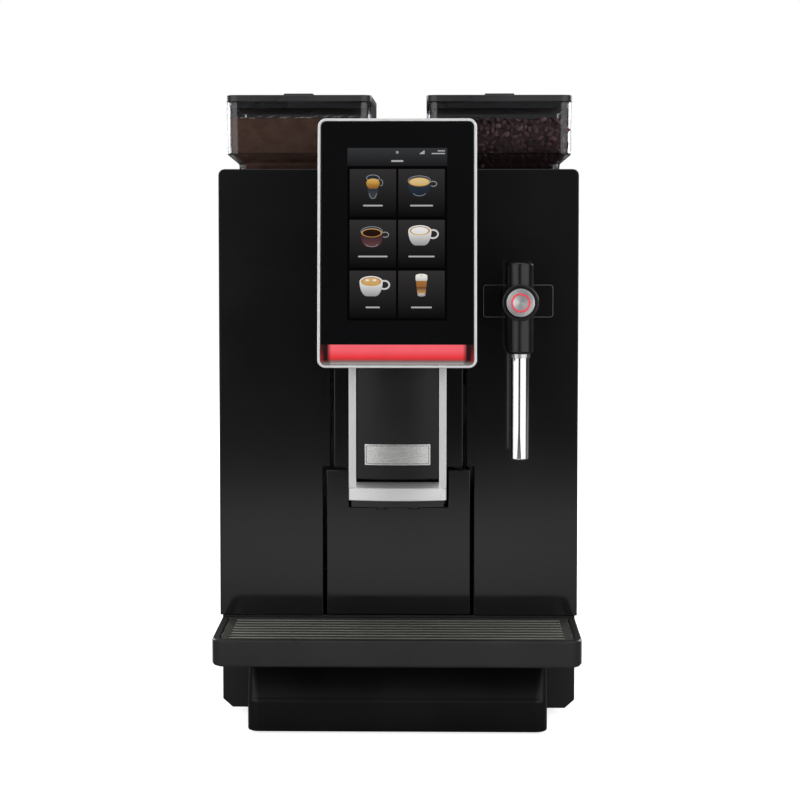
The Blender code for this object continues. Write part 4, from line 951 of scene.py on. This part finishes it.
def powder_smears():
    """Thin trails of powder that cling to the inside of the front wall over the fill."""
    x, y, _, _ = hopper_spans("powder_hopper")
    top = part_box("powder_fill")[1].z
    rng = random.Random(7)
    shape = bmesh.new()
    for k in range(13):
        start = x[0] + 14 * MM + (x[1] - x[0] - 30 * MM) * k / 13 + rng.uniform(-3, 3) * MM
        length, rise = rng.uniform(6, 14) * MM, rng.uniform(-0.6, 2.2) * MM
        base, thick = top + rng.uniform(-0.2, 1.6) * MM, rng.uniform(0.2, 0.7) * MM
        upper, lower = [], []
        for i in range(13):
            share = i / 12
            swell = math.sin(math.pi * share) * thick * (0.6 + 0.4 * math.sin(9 * share + k))
            mid = base + rise * share * share + 0.3 * MM * math.sin(5 * share + k)
            at_x = start + length * share
            depth = y[0] + WALL + 0.35 * MM
            upper.append(shape.verts.new((at_x, depth, mid + swell + 0.04 * MM)))
            lower.append(shape.verts.new((at_x, depth, mid - swell - 0.04 * MM)))
        for i in range(12):
            shape.faces.new((upper[i], upper[i + 1], lower[i + 1], lower[i]))
    mesh = bpy.data.meshes.new("smears")
    shape.to_mesh(mesh)
    shape.free()
    smear = moulding("powder_trail", (0.62, 0.56, 0.52), 0.9, grain=1500, depth=0.00005, wear=0, dust=0)
    obj = piece_of("powder_trails", mesh, "powder_hopper", smear)
    thickness = obj.modifiers.new("thickness", "SOLIDIFY")
    thickness.thickness = 0.15 * MM


BEAN_SCALE = 0.76


def bean_shape():
    """One roasted bean: domed on one side, flat with a crease on the other."""
    shape = bmesh.new()
    lengthways = Matrix.Rotation(math.pi / 2, 4, "Y")
    bmesh.ops.create_uvsphere(shape, u_segments=10, v_segments=6, radius=1.0, matrix=lengthways)
    points = []
    for vert in shape.verts:
        u, v, w = vert.co
        crease = 0.55 * max(0.0, 1 - abs(v) / 0.35) if w < 0 else 0.0
        height = w * (2.5 if w > 0 else 1.5) + crease
        points.append(Vector((u * 4.4, v * 3.1 * (1 - 0.08 * u), height)) * BEAN_SCALE * MM)
    shape.verts.index_update()
    faces = [[vert.index for vert in face.verts] for face in shape.faces]
    shape.free()
    return points, faces


def bean_places(x, y, ledge, low, top, high, rng):
    """Centres of beans near the walls and the top, no two closer than they can lie."""
    spacing, reach, margin = 4.3 * MM, 8.0 * MM, 1.5 * MM
    taken, centres = {}, []
    for _ in range(60000):
        point = Vector((rng.uniform(*x), rng.uniform(*y), rng.uniform(low, top)))
        inset = room_inset(point.z, ledge, high) + margin
        side = min(point.x - x[0], x[1] - point.x, point.y - y[0], y[1] - point.y) - inset
        if side < 0 or (side > reach and top - point.z > reach):
            continue
        cell = tuple(math.floor(c / spacing) for c in point)
        near = (
            other
            for i in (-1, 0, 1) for j in (-1, 0, 1) for k in (-1, 0, 1)
            for other in taken.get((cell[0] + i, cell[1] + j, cell[2] + k), ())
        )
        if any((other - point).length < spacing for other in near):
            continue
        taken.setdefault(cell, []).append(point)
        centres.append(point)
    return centres


def beans():
    """Roasted beans heaped against the walls and the top, round a plain core."""
    x, y, _, high = hopper_spans("bean_hopper")
    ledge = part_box("top_cover")[1].z + GAP
    low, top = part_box("bean_fill")[0].z + 2 * MM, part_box("bean_fill")[1].z - 1.2 * MM
    rng = random.Random(11)
    template, template_faces = bean_shape()
    points, faces, tones = [], [], []
    for centre in bean_places(x, y, ledge, low, top, high, rng):
        turn = Matrix.Rotation(rng.uniform(0, 2 * math.pi), 3, "Z")
        turn = turn @ Matrix.Rotation(rng.gauss(0, 0.8), 3, "Y")
        turn = turn @ Matrix.Rotation(rng.uniform(0, 2 * math.pi), 3, "X")
        start, tone = len(points), rng.random()
        for local in template:
            point = centre + turn @ local
            inset = room_inset(point.z, ledge, high) + 0.15 * MM
            point.x = min(max(point.x, x[0] + inset), x[1] - inset)
            point.y = min(max(point.y, y[0] + inset), y[1] - inset)
            point.z = max(point.z, ledge + WALL + 2.3 * MM)
            points.append(point)
            tones.append(tone)
        faces += [[start + i for i in face] for face in template_faces]
    mesh = bpy.data.meshes.new("beans")
    mesh.from_pydata(points, [], faces)
    attribute = mesh.attributes.new("tone", "FLOAT", "POINT")
    attribute.data.foreach_set("value", tones)
    roast = bean_finish()
    piece_of("roasted_beans", mesh, "bean_hopper", roast, ["bean_fill"], sharp=80, flat=False)
    core_x, core_y = (x[0] + 8 * MM, x[1] - 8 * MM), (y[0] + 8 * MM, y[1] - 8 * MM)
    core = skin([
        level(core_x, core_y, 0, top - 4 * MM, 4 * MM),
        level(core_x, core_y, 0, ledge + 26 * MM, 4 * MM),
        level(core_x, core_y, 11 * MM, ledge + WALL + 5 * MM, 2 * MM),
    ])
    piece_of("bean_heap_core", core, "bean_hopper", roast)


def bean_finish():
    """Roasted skin: each bean its own brown, oily on its high spots, with painted shade that turns the beans
    near black low in the hopper's neck.
    """
    material, tree, shader = blank("roasted_bean")
    tone = node(tree, "Attribute", attribute_name="tone").outputs["Fac"]
    at = place_of(tree)
    veins = node(tree, "TexNoise", {"Vector": at, "Scale": 700.0, "Detail": 3.0}).outputs[0]
    roast = mixed(tree, tone, (0.070, 0.028, 0.030), (0.34, 0.18, 0.175))
    skin_tone = mixed(tree, span(tree, veins, 0.55, 0.75), roast, (0.36, 0.22, 0.20))
    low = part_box("bean_fill")[0].z
    height = node(tree, "SeparateXYZ", {0: at}).outputs["Z"]
    # Painted shade: below the shoulder the beans blend to near black, as if shadowed inside the neck.
    deep = span(tree, height, low + 14 * MM, low + 34 * MM)
    tree.links.new(mixed(tree, deep, (0.035, 0.008, 0.008), skin_tone), shader.inputs["Base Color"])
    tree.links.new(span(tree, veins, 0.3, 0.7, 0.28, 0.5), shader.inputs["Roughness"])
    bump(tree, shader, veins, 0.0001)
    return material


def hopper_lid(node_name):
    """Lid that plugs into the hopper's mouth, with a sunk top and a grip tab at its front."""
    low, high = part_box(node_name)
    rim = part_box(node_name.replace("_lid", "_hopper"))[1].z
    x, y = (low.x, high.x), (low.y, high.y)
    seat, top, plug = rim + GAP, high.z - 1.4 * MM, CORNER - 4 * MM
    edge = 1.0 * MM
    loops = [
        level(x, y, 4.2 * MM, low.z, plug),
        level(x, y, 4.2 * MM, seat, plug),
        level(x, y, 0.5 * MM, seat, CORNER - 0.5 * MM),
        level(x, y, 0, seat + 0.5 * MM, CORNER),
        level(x, y, 0, top - edge, CORNER),
    ]
    for u, v in arc((0, 0), edge, 20, 90, 3):
        loops.append(level(x, y, edge - u, top - edge + v, CORNER - edge + u))
    loops.append(level(x, y, 5 * MM, top, CORNER - 5 * MM))
    loops.append(level(x, y, 6 * MM, top - 0.6 * MM, CORNER - 6 * MM))
    lid = skin(loops)
    middle, tab_half = (low.x + high.x) / 2, 14 * MM
    tab_low = (middle - tab_half, low.y + 2 * MM, top - 1.2 * MM)
    tab = box_mesh(tab_low, (middle + tab_half, low.y + 25 * MM, high.z), 1.1 * MM, 4)
    piece_of(f"{node_name}_cap", joined([lid, tab]), body_of(node_name), lid_black, [node_name])


def hoppers():
    shell = hopper_shell("powder_hopper", 49.6 * MM, (-74 * MM, 76 * MM), -48 * MM, 12 * MM)
    piece_of("powder_hopper_wall", shell, "powder_hopper", smoked, ["powder_hopper"])
    shell = hopper_shell("bean_hopper", 20 * MM, (-19 * MM, 21 * MM), 1 * MM, 15 * MM)
    low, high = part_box("bean_gate")
    slot_low = (low.x + 4 * MM, low.y - 1.2 * MM, low.z - 0.1 * MM)
    slot = box_mesh(slot_low, (low.x + 22 * MM, high.y + 1.2 * MM, low.z + 2.5 * MM))
    shell = solid_of(shell, ("DIFFERENCE", slot))
    piece_of("bean_hopper_wall", shell, "bean_hopper", smoked, ["bean_hopper"])
    powder()
    powder_smears()
    beans()
    hopper_lid("powder_lid")
    hopper_lid("bean_lid")
    softened("bean_gate", 0.3 * MM, satin_black)


# Spout

ARC = 200 * MM  # radius of the bulge across the spout's front


def bulge(x, crest_y):
    """Depth of the spout's curved front at x."""
    return crest_y + ARC - math.sqrt(ARC * ARC - x * x)


def curved_bar(half, crest_y, back_y, low_z, high_z, rounding, lip, steps=36):
    """Bar across the machine, its front bulging and its top rising by lip to the back."""
    loops = []
    stations = [-half + rounding * (1 - math.cos(math.radians(a))) for a in (0, 30, 60, 90)]
    inner = [-half + rounding + (2 * half - 2 * rounding) * k / steps for k in range(1, steps)]
    stations = stations + inner + [-x for x in reversed(stations)]
    for x in stations:
        near_end = max(0.0, abs(x) - (half - rounding))
        draw_in = rounding - math.sqrt(max(rounding ** 2 - near_end ** 2, 0.0))
        front = bulge(x, crest_y) + draw_in
        corners = [(front, low_z + draw_in), (back_y, low_z + draw_in), (back_y, high_z + lip - draw_in),
                   (back_y - 1 * MM, high_z + lip - draw_in), (front + 1 * MM, high_z - draw_in)]
        corners.append((front, high_z - 1 * MM - draw_in))
        radius = max(rounding * 0.98 - draw_in * 0.9, 0.05 * MM)
        outline = corner_arc(corners, [radius, 0.2 * MM, 0.2 * MM, 0.2 * MM, 0.4 * MM, 0.3 * MM], 4)
        loops.append([(x, y, z) for y, z in outline])
    return skin(loops)


def spout():
    """Bright bar and rails round the spout's cover, and the dark parts between them."""
    low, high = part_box("spout_frame")
    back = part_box("spout_body")[0].y - GAP
    bar_top = 220.9 * MM
    bar = curved_bar(high.x, low.y, back, low.z, bar_top, 0.9 * MM, 4.6 * MM)
    piece_of("spout_bar", bar, "spout", bar_metal, ["spout_frame"])
    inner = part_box("spout_cover")[1].x + 0.4 * MM
    rails = []
    for side in (-1, 1):
        x = sorted((side * inner, side * high.x))
        foot = (x[0], bulge(inner, low.y) + 0.6 * MM, bar_top - 0.3 * MM)
        rails.append(box_mesh(foot, (x[1], back, high.z), 0.6 * MM, 3))
    piece_of("spout_rails", joined(rails), "spout", rail_metal, ["spout_frame"])
    softened("spout_body", 0.6 * MM, satin_black)
    softened("spout_cover", 0.9 * MM, cover_black)
    softened("nozzle_block", 0.5 * MM, satin_black)


def badge():
    """Blank brushed plate with a fine engraved line round its edge."""
    low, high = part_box("spout_badge")
    plate = softened("spout_badge", 0.35 * MM, plate_metal)
    plate.modifiers["edges"].segments = 4
    line, inset, proud = 0.35 * MM, 1.3 * MM, 0.03 * MM
    loops = []
    for draw_in, lift in ((inset, 0), (inset, proud), (inset + line, proud), (inset + line, 0)):
        half, tall = high.x - draw_in, (high.z - low.z) / 2 - draw_in
        outline = upright(half, tall, 1.2 * MM, 0, 6)
        even = ring_of_points(outline, 120)
        middle = (low.z + high.z) / 2
        loops.append([(p.x, bulge(p.x, low.y) - lift, middle + p.z) for p in even])
    engraved = moulding("engraved_line", (0.06, 0.06, 0.058), 0.5, wear=0, dust=0, metallic=0.6)
    piece_of("spout_badge_line", skin(loops, endless=True), "spout", engraved)


# Steam wand

def wand_axis():
    """Centre line of the wand's tube: (x, y)."""
    low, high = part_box("wand_tube")
    return (low.x + high.x) / 2, (low.y + high.y) / 2


def facing_front(x, y, z):
    """Frame whose Z axis points out of the machine's front."""
    return Matrix.Translation((x, y, z)) @ Matrix.Rotation(math.pi / 2, 4, "X")


def wand_handle():
    """Grip with the boss that holds the button and the eye that turns on the pin."""
    (x, y), (low, high) = wand_axis(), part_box("wand_handle")
    pin_low, pin_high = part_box("wand_pin")
    pin_y, pin_z = (pin_low.y + pin_high.y) / 2, (pin_low.z + pin_high.z) / 2
    button_low, button_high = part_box("button_cap")
    button_z = (button_low.z + button_high.z) / 2
    radius, edge = 12.5 * MM, 2.2 * MM
    profile = [(0, high.z)] + [(u, v) for u, v in arc((radius - edge, high.z - edge), edge, 90, 0, 6)]
    profile += [(u, v) for u, v in arc((radius - edge, low.z + edge), edge, 0, -90, 6)] + [(0, low.z)]
    grip = lathe(profile, 72, matrix=Matrix.Translation((x, y, 0)))
    boss, bore, deep = (high.x - low.x) / 2, 13.4 * MM, 15.5 * MM
    floor = deep - (button_high.y - low.y) - 2.5 * MM
    soft, lip = 1.4 * MM, 0.4 * MM
    shoulder = arc((boss - soft, deep - soft), soft, 0, 90, 6)
    rim = [(0, 0), (boss, 0), *shoulder, (bore + lip, deep), (bore, deep - lip)]
    front = facing_front(x, low.y + deep, button_z)
    ring = lathe([*rim, (bore, floor), (0, floor)], 96, matrix=front)
    well = lathe([(0, deep + 5 * MM), (bore, deep + 5 * MM), (bore, floor), (0, floor)], 96, matrix=front)
    reach = high.y - pin_y
    knuckle_turns = Matrix.Translation((x, pin_y, pin_z)) @ Matrix.Rotation(math.pi / 2, 4, "Y")
    half = 7.8 * MM
    eye = [(0, -half), (reach - lip, -half), (reach, -half + lip)]
    eye += [(reach, half - lip), (reach - lip, half), (0, half)]
    knuckle = lathe(eye[::-1], 40, matrix=knuckle_turns)
    web = box_mesh((x - half, pin_y - 14 * MM, pin_z - reach), (x + half, pin_y, pin_z + reach), 0.3 * MM)
    hole_radius, through = 2.8 * MM, 20 * MM
    drill = [(0, through), (hole_radius, through), (hole_radius, -through), (0, -through)]
    hole = lathe(drill, 40, matrix=knuckle_turns)
    steps = [("DIFFERENCE", well), ("UNION", ring), ("UNION", knuckle), ("UNION", web), ("DIFFERENCE", hole)]
    piece_of("wand_grip", solid_of(grip, *steps), "wand", grip_black, ["wand_handle"])


def wand_button():
    """Spun steel push button with a lit red ring let into its face."""
    x, _ = wand_axis()
    low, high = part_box("button_cap")
    ring_low, ring_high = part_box("button_ring")
    z, face, radius = (low.z + high.z) / 2, high.y - low.y, (high.x - low.x) / 2
    outer, inner = (ring_high.x - ring_low.x) / 2 - 0.1 * MM, 7.1 * MM
    groove, soft = face - 2 * MM, 0.8 * MM
    chamfer = 0.25 * MM
    dish = [(0, face - 0.5 * MM), (inner * 0.55, face - 0.3 * MM)]
    dish += [(inner - chamfer, face), (inner, face - chamfer)]
    channel = [(inner, groove), (outer, groove), (outer, face - chamfer), (outer + chamfer, face)]
    profile = [*dish, *channel, *arc((radius - soft, face - soft), soft, 90, 0, 5), (radius, 0), (0, 0)]
    front = facing_front(x, high.y, z)
    cap = lathe(profile, 96, matrix=front)
    piece_of("push_button", cap, "wand_button", spun_cap(x, z), ["button_cap"])
    light, light_in = outer - 0.15 * MM, inner + 0.15 * MM
    middle, half = (light + light_in) / 2, (light - light_in) / 2
    top = face + 0.05 * MM
    foot, dome = groove + 0.2 * MM, arc((middle, top - half * 0.6), half, 0, 180, 8)
    bead = [(light, foot), *dome, (light_in, foot)]
    lens = lathe(bead[::-1], 96, ring=True, matrix=front)
    piece_of("button_light", lens, "wand_button", ring_light_finish(), ["button_ring"])


def spun_cap(x, z):
    """Steel turned on a lathe: rings about the button's own axis, with a painted sweeping sheen, the base
    colour going light and dark with the angle round the axis in place of the highlight.
    """
    material, tree, shader = blank("spun_button_painted_sheen")
    at = node(tree, "SeparateXYZ", {0: place_of(tree)}).outputs
    across = math_node(tree, "SUBTRACT", at["X"], x)
    up = math_node(tree, "SUBTRACT", at["Z"], z)
    across_squared = math_node(tree, "MULTIPLY", across, across)
    squares = math_node(tree, "ADD", across_squared, math_node(tree, "MULTIPLY", up, up))
    out = math_node(tree, "MULTIPLY", math_node(tree, "SQRT", squares), 4000.0)
    rings = node(tree, "TexNoise", {"W": out, "Scale": 1.0, "Detail": 3.0}, noise_dimensions="1D").outputs[0]
    # Painted sheen: the colour lightens and darkens round the axis as a turned cap's highlight would.
    turn = math_node(tree, "MULTIPLY", math_node(tree, "ARCTAN2", up, across), 2.0)
    painted_sheen = span(tree, math_node(tree, "COSINE", math_node(tree, "ADD", turn, 0.9)), -1, 1)
    tone = mixed(tree, painted_sheen, (0.55, 0.56, 0.57), (0.97, 0.97, 0.96))
    steel_with_painted_sheen = mixed(tree, span(tree, rings, 0.35, 0.65, 0, 0.25), tone, (0.30, 0.30, 0.31))
    tree.links.new(steel_with_painted_sheen, shader.inputs["Base Color"])
    tree.links.new(span(tree, rings, 0.2, 0.8, 0.28, 0.40), shader.inputs["Roughness"])
    shader.inputs["Metallic"].default_value = 1.0
    bump(tree, shader, rings, 0.00002)
    return material


def ring_light_finish():
    """Red lit ring, a little uneven along its length."""
    material, tree, shader = blank("ring_light")
    cloud = placed(tree, GRAIN, scale=3000.0, cloud_scale=300.0)
    red = mixed(tree, cloud["Mottle"], (0.80, 0.03, 0.07), (0.85, 0.12, 0.18))
    tree.links.new(red, shader.inputs["Emission Color"])
    shader.inputs["Emission Strength"].default_value = 0.75
    shader.inputs["Base Color"].default_value = (0.4, 0.01, 0.01, 1)
    shader.inputs["Roughness"].default_value = 0.3
    bump(tree, shader, cloud["Height"], 0.00001)
    return material


def wand():
    """Steam wand: its ring, its pipe with an open tip, its bracket, grip and button."""
    x, y = wand_axis()
    matrix = Matrix.Translation((x, y, 0))
    low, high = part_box("wand_collar")
    outer, inner, soft = (high.x - low.x) / 2, (high.x - low.x) / 2 - 0.6 * MM, 0.25 * MM
    collar = [(inner, low.z), (outer - soft, low.z), (outer, low.z + soft)]
    collar += [(outer, high.z - soft), (outer - soft, high.z), (inner, high.z)]
    ring = lathe(collar[::-1], 80, ring=True, matrix=matrix)
    piece_of("wand_ring", ring, "wand", steel, ["wand_collar"])
    low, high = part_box("wand_tube")
    radius, soft = (high.x - low.x) / 2, 1.6 * MM
    bore_top = low.z + 12 * MM
    tube = [(0, high.z), (radius, high.z), *arc((radius - soft, low.z + soft), soft, 0, -90, 8)]
    tube += [(4.2 * MM, low.z), (3.4 * MM, low.z + 0.8 * MM), (3.0 * MM, bore_top), (0, bore_top)]
    piece_of("wand_pipe", lathe(tube, 96, matrix=matrix), "wand", chrome, ["wand_tube"])
    softened("wand_bracket", 0.5 * MM, gloss_black)
    bracket_trim()
    wand_handle()
    wand_button()
    dressed(["wand_pin"], steel)


def bracket_trim():
    """Fine bright line round the front edge of the wand's bracket."""
    low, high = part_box("wand_bracket")
    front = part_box("front_fascia")[0].y - GAP - 2.5 * MM
    x, z = (low.x + high.x) / 2, (low.z + high.z) / 2
    half_x, half_z = (high.x - low.x) / 2, (high.z - low.z) / 2
    loops, root, proud = [], front + 0.5 * MM, front - 0.1 * MM
    for draw_in, y in ((0.15 * MM, root), (0.25 * MM, proud), (0.75 * MM, proud), (0.85 * MM, root)):
        outline = upright(half_x - draw_in, half_z - draw_in, 3 * MM - draw_in, y, 6)
        loops.append([(x + u, v, z + w) for u, v, w in outline])
    piece_of("wand_bracket_trim", skin(loops, endless=True), "machine", dim_steel)


# Tray and drawer

def tray():
    softened("drip_tray", 0.7 * MM, tray_black)
    softened("drip_grille", 0.5 * MM, grille_metal)
    softened("grounds_front", 0.8 * MM, gloss_black)
    softened("grounds_bin", 0.5 * MM, satin_black)
    waste_tank()


def waste_tank():
    """Tank under the tray. Its front leans back over a full lower part, as a finger grip."""
    low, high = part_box("drip_tank_pan")
    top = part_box("drip_tank")[1].z
    x, y = (low.x, high.x), (low.y, high.y)
    wall, back = 2.5 * MM, 2 * MM

    def ring(inset, lean, z, radius):
        return level(x, (y[0] + lean, y[1]), inset, z, radius, back)

    slope = [(0, 28.4 * MM), (0.3 * MM, 29.9 * MM), (1.1 * MM, 31.3 * MM), (2.5 * MM, 33.2 * MM)]
    outer = [ring(0, lean, z, 11 * MM - lean * 0.15) for lean, z in slope]
    rim = [ring(0.3 * MM, 20 * MM, top, 7.7 * MM), ring(0, 19.9 * MM, top - 0.4 * MM, 8 * MM)]
    foot = [
        ring(0, 0, low.z + 1.5 * MM, 11 * MM),
        ring(0.4 * MM, 0, low.z + 0.4 * MM, 10.6 * MM),
        ring(1.5 * MM, 0, low.z, 9.5 * MM),
    ]
    inside = [
        ring(wall + 1 * MM, 0, low.z + wall, 8 * MM),
        ring(wall, 0, low.z + wall + 1 * MM, 9 * MM),
        ring(wall, 0, 31.0 * MM, 9 * MM),
        ring(wall, 20 * MM, top, 6 * MM),
    ]
    shell = skin([*inside, *rim, *outer[::-1], *foot])
    rail_z, rail_half, rear = (44 * MM, 52 * MM), 7 * MM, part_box("drip_tank")[1].y
    for side in (-1, 1):
        middle = side * 112 * MM
        rail_low = (middle - rail_half, high.y - 2 * MM, rail_z[0])
        rail = box_mesh(rail_low, (middle + rail_half, rear, rail_z[1]), 0.8 * MM, 3)
        shell = solid_of(shell, ("UNION", rail))
    piece_of("waste_tank", shell, "drip_tray", tank_black, ["drip_tank", "drip_tank_pan"])


# Back and inside

def fan_guard():
    """Wire guard over the fan's opening, and its four screws."""
    low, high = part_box("fan_frame")
    face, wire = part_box("rear_cover")[1].y, 0.65 * MM
    x, z = (low.x + high.x) / 2, (low.z + high.z) / 2
    turn = Matrix.Translation((x, face + wire, z)) @ Matrix.Rotation(math.radians(-90), 4, "X")
    meshes = []
    for radius in (9 * MM, 16 * MM, 23 * MM, 30 * MM, 37 * MM):
        turns = [math.pi * k / 4 for k in range(8)]
        section = [(radius + wire * math.cos(a), wire * math.sin(a)) for a in turns]
        meshes.append(lathe(section, 48, ring=True, matrix=turn))
    for angle in (45, 135):
        spoke = box_mesh((-42 * MM, -0.6 * MM, -0.4 * MM), (42 * MM, 0.6 * MM, 0.4 * MM), 0.2 * MM)
        spoke.transform(turn @ Matrix.Rotation(math.radians(angle), 4, "Z"))
        meshes.append(spoke)
    reach = 43 * MM / math.sqrt(2)
    for across in (-reach, reach):
        for up in (-reach, reach):
            meshes.append(screw_mesh((x + across, face, z + up), (0, 1, 0), 2.2 * MM))
    piece_of("fan_guard", joined(meshes), "machine", zinc_plate)


def rear_fittings():
    softened("power_inlet", 0.5 * MM, satin_black)
    softened("power_switch", 0.5 * MM, satin_black)
    softened("fan_frame", 0.5 * MM, satin_black)
    softened("fan_rotor", 0.3 * MM, satin_black)
    softened("water_tank", 0.8 * MM, clear)
    softened("water_tank_lid", 0.8 * MM, satin_black)


def inside():
    softened("coffee_boiler", 0.8 * MM, steel)
    softened("steam_boiler", 0.8 * MM, steel)
    softened("grinder_housing", 0.8 * MM, cast_zinc)
    softened("grinder_motor", 0.8 * MM, cast_zinc)
    softened("water_pump", 0.6 * MM, brass)
    dressed(["burr_cone", "brew_piston", "powder_auger"], steel)
    dressed(["brew_chamber", "mixing_bowl"], white_plastic)
    dressed(["control_board"], board_green)


# Stage

def lamp(name, at, towards, size, power, colour=(1, 1, 1), spread=180.0):
    light = bpy.data.lights.new(name, "AREA")
    light.shape, light.size, light.size_y = "RECTANGLE", size[0], size[1]
    light.energy, light.color, light.spread = power, colour, math.radians(spread)
    obj = bpy.data.objects.new(name, light)
    aim = (Vector(towards) - Vector(at)).to_track_quat("-Z", "Y")
    obj.matrix_world = Matrix.Translation(at) @ aim.to_matrix().to_4x4()
    bpy.context.scene.collection.objects.link(obj)
    return obj


def panel_lamp(name, near, far, low, high, glow):
    """Upright soft panel over the floor line from near to far, turned to face the machine."""
    near, far = Vector((*near, 0)), Vector((*far, 0))
    middle = (near + far) / 2 + Vector((0, 0, (low + high) / 2))
    across = (far - near).normalized()
    facing = across.cross(Vector((0, 0, 1)))
    if facing.dot(-middle) < 0:
        facing = -facing
    size = ((far - near).length, high - low)
    return lamp(name, middle, middle + facing, size, glow * math.pi * size[0] * size[1])


def lamps():
    """Two wide soft panels in front with a dark gap between, one overhead, and two that fill the back."""
    panel_lamp("front_panel_left", (-0.47, -2.10), (-1.35, -0.45), 0.03, 1.75, 1.25)
    panel_lamp("front_panel_right", (0.42, -2.10), (1.45, -0.45), 0.03, 1.75, 1.25)
    lamp("overhead", (0, -0.2, 2.0), (0, 0, 0.3), (1.8, 1.4), 9)
    middle = (0, 0, 0.3)
    lamp("back_fill_left", (-1.8, 2.0, 1.2), middle, (1.6, 1.6), 34)
    lamp("back_fill_right", (1.8, 2.0, 1.2), middle, (1.6, 1.6), 34)


def studio():
    """White to the camera, and a dim even grey to everything else."""
    world = bpy.data.worlds.new("studio")
    world.use_nodes = True
    bpy.context.scene.world = world
    tree = world.node_tree
    direct = tree.nodes["Background"]
    direct.inputs["Color"].default_value = (1, 1, 1, 1)
    direct.inputs["Strength"].default_value = 1.0
    height = node(tree, "SeparateXYZ", {0: node(tree, "TexCoord").outputs["Generated"]}).outputs["Z"]
    dim = mixed(tree, span(tree, height, -0.2, 0.7), (0.03, 0.03, 0.03), (0.12, 0.12, 0.12))
    around = node(tree, "Background", {"Color": dim, "Strength": 1.0})
    seen = node(tree, "LightPath").outputs["Is Camera Ray"]
    blend = node(tree, "MixShader", {0: seen, 1: around.outputs[0], 2: direct.outputs[0]})
    tree.links.new(blend.outputs[0], tree.nodes["World Output"].inputs["Surface"])


def floor():
    """Pale floor that reads as bright as the room behind it. To all but camera rays it carries a painted pool
    of light round (0, -1.05) in front of the machine.
    """
    reach, thick, drop = 40.0, 0.02, Matrix.Translation((0, 0, -0.0005))
    disc = lathe([(reach, 0.0), (0, 0.0), (0, -thick), (reach, -thick)], 96, matrix=drop)
    obj = bpy.data.objects.new("studio_floor", disc)
    bpy.context.scene.collection.objects.link(obj)
    material, tree, shader = blank("pale_floor")
    cloud = placed(tree, GRAIN, scale=300.0, cloud_scale=1.5)
    seen = node(tree, "LightPath").outputs["Is Camera Ray"]
    pale = mixed(tree, cloud["Mottle"], (0.88, 0.88, 0.88), (0.93, 0.93, 0.93))
    out = node(tree, "VectorMath", {0: place_of(tree), 1: (0, -1.05, 0)}, operation="DISTANCE")
    from_painted_pool = out.outputs["Value"]
    # Painted pool of light: paler floor round (0, -1.05), seen only in reflections and bounced light on the
    # machine.
    painted_light_pool = mixed(tree, span(tree, from_painted_pool, 0.15, 0.8), (0.8, 0.8, 0.8), (0.26, 0.26, 0.26))
    tree.links.new(mixed(tree, seen, painted_light_pool, pale), shader.inputs["Base Color"])
    shader.inputs["Roughness"].default_value = 0.9
    shader.inputs["Specular IOR Level"].default_value = 0.1
    glow = span(tree, from_painted_pool, 1.2, 2.4, 0.80, 0.96)
    bright = node(tree, "Emission", {"Color": (1, 1, 1, 1), "Strength": glow})
    both = node(tree, "AddShader", {0: shader.outputs[0], 1: bright.outputs[0]})
    blend = node(tree, "MixShader", {0: seen, 1: shader.outputs[0], 2: both.outputs[0]})
    tree.links.new(blend.outputs[0], tree.nodes["Material Output"].inputs["Surface"])
    obj.data.materials.append(material)


def camera():
    lens = bpy.data.cameras.new("camera")
    lens.lens, lens.sensor_width, lens.shift_y = 90.59, 36.0, -0.12
    obj = bpy.data.objects.new("camera", lens)
    obj.location = (0.0312, -1.9884, 0.4913)
    obj.rotation_euler = (math.radians(90 - 3.2368), 0, math.radians(0.9127))
    bpy.context.scene.collection.objects.link(obj)
    bpy.context.scene.camera = obj
    bpy.context.scene.view_settings.view_transform = "Standard"


camera()
studio()
lamps()
floor()
housing()
fasteners()
feet()
screen_shell()
light_bar()
display()
hoppers()
spout()
badge()
wand()
tray()
rear_fittings()
fan_guard()
inside()
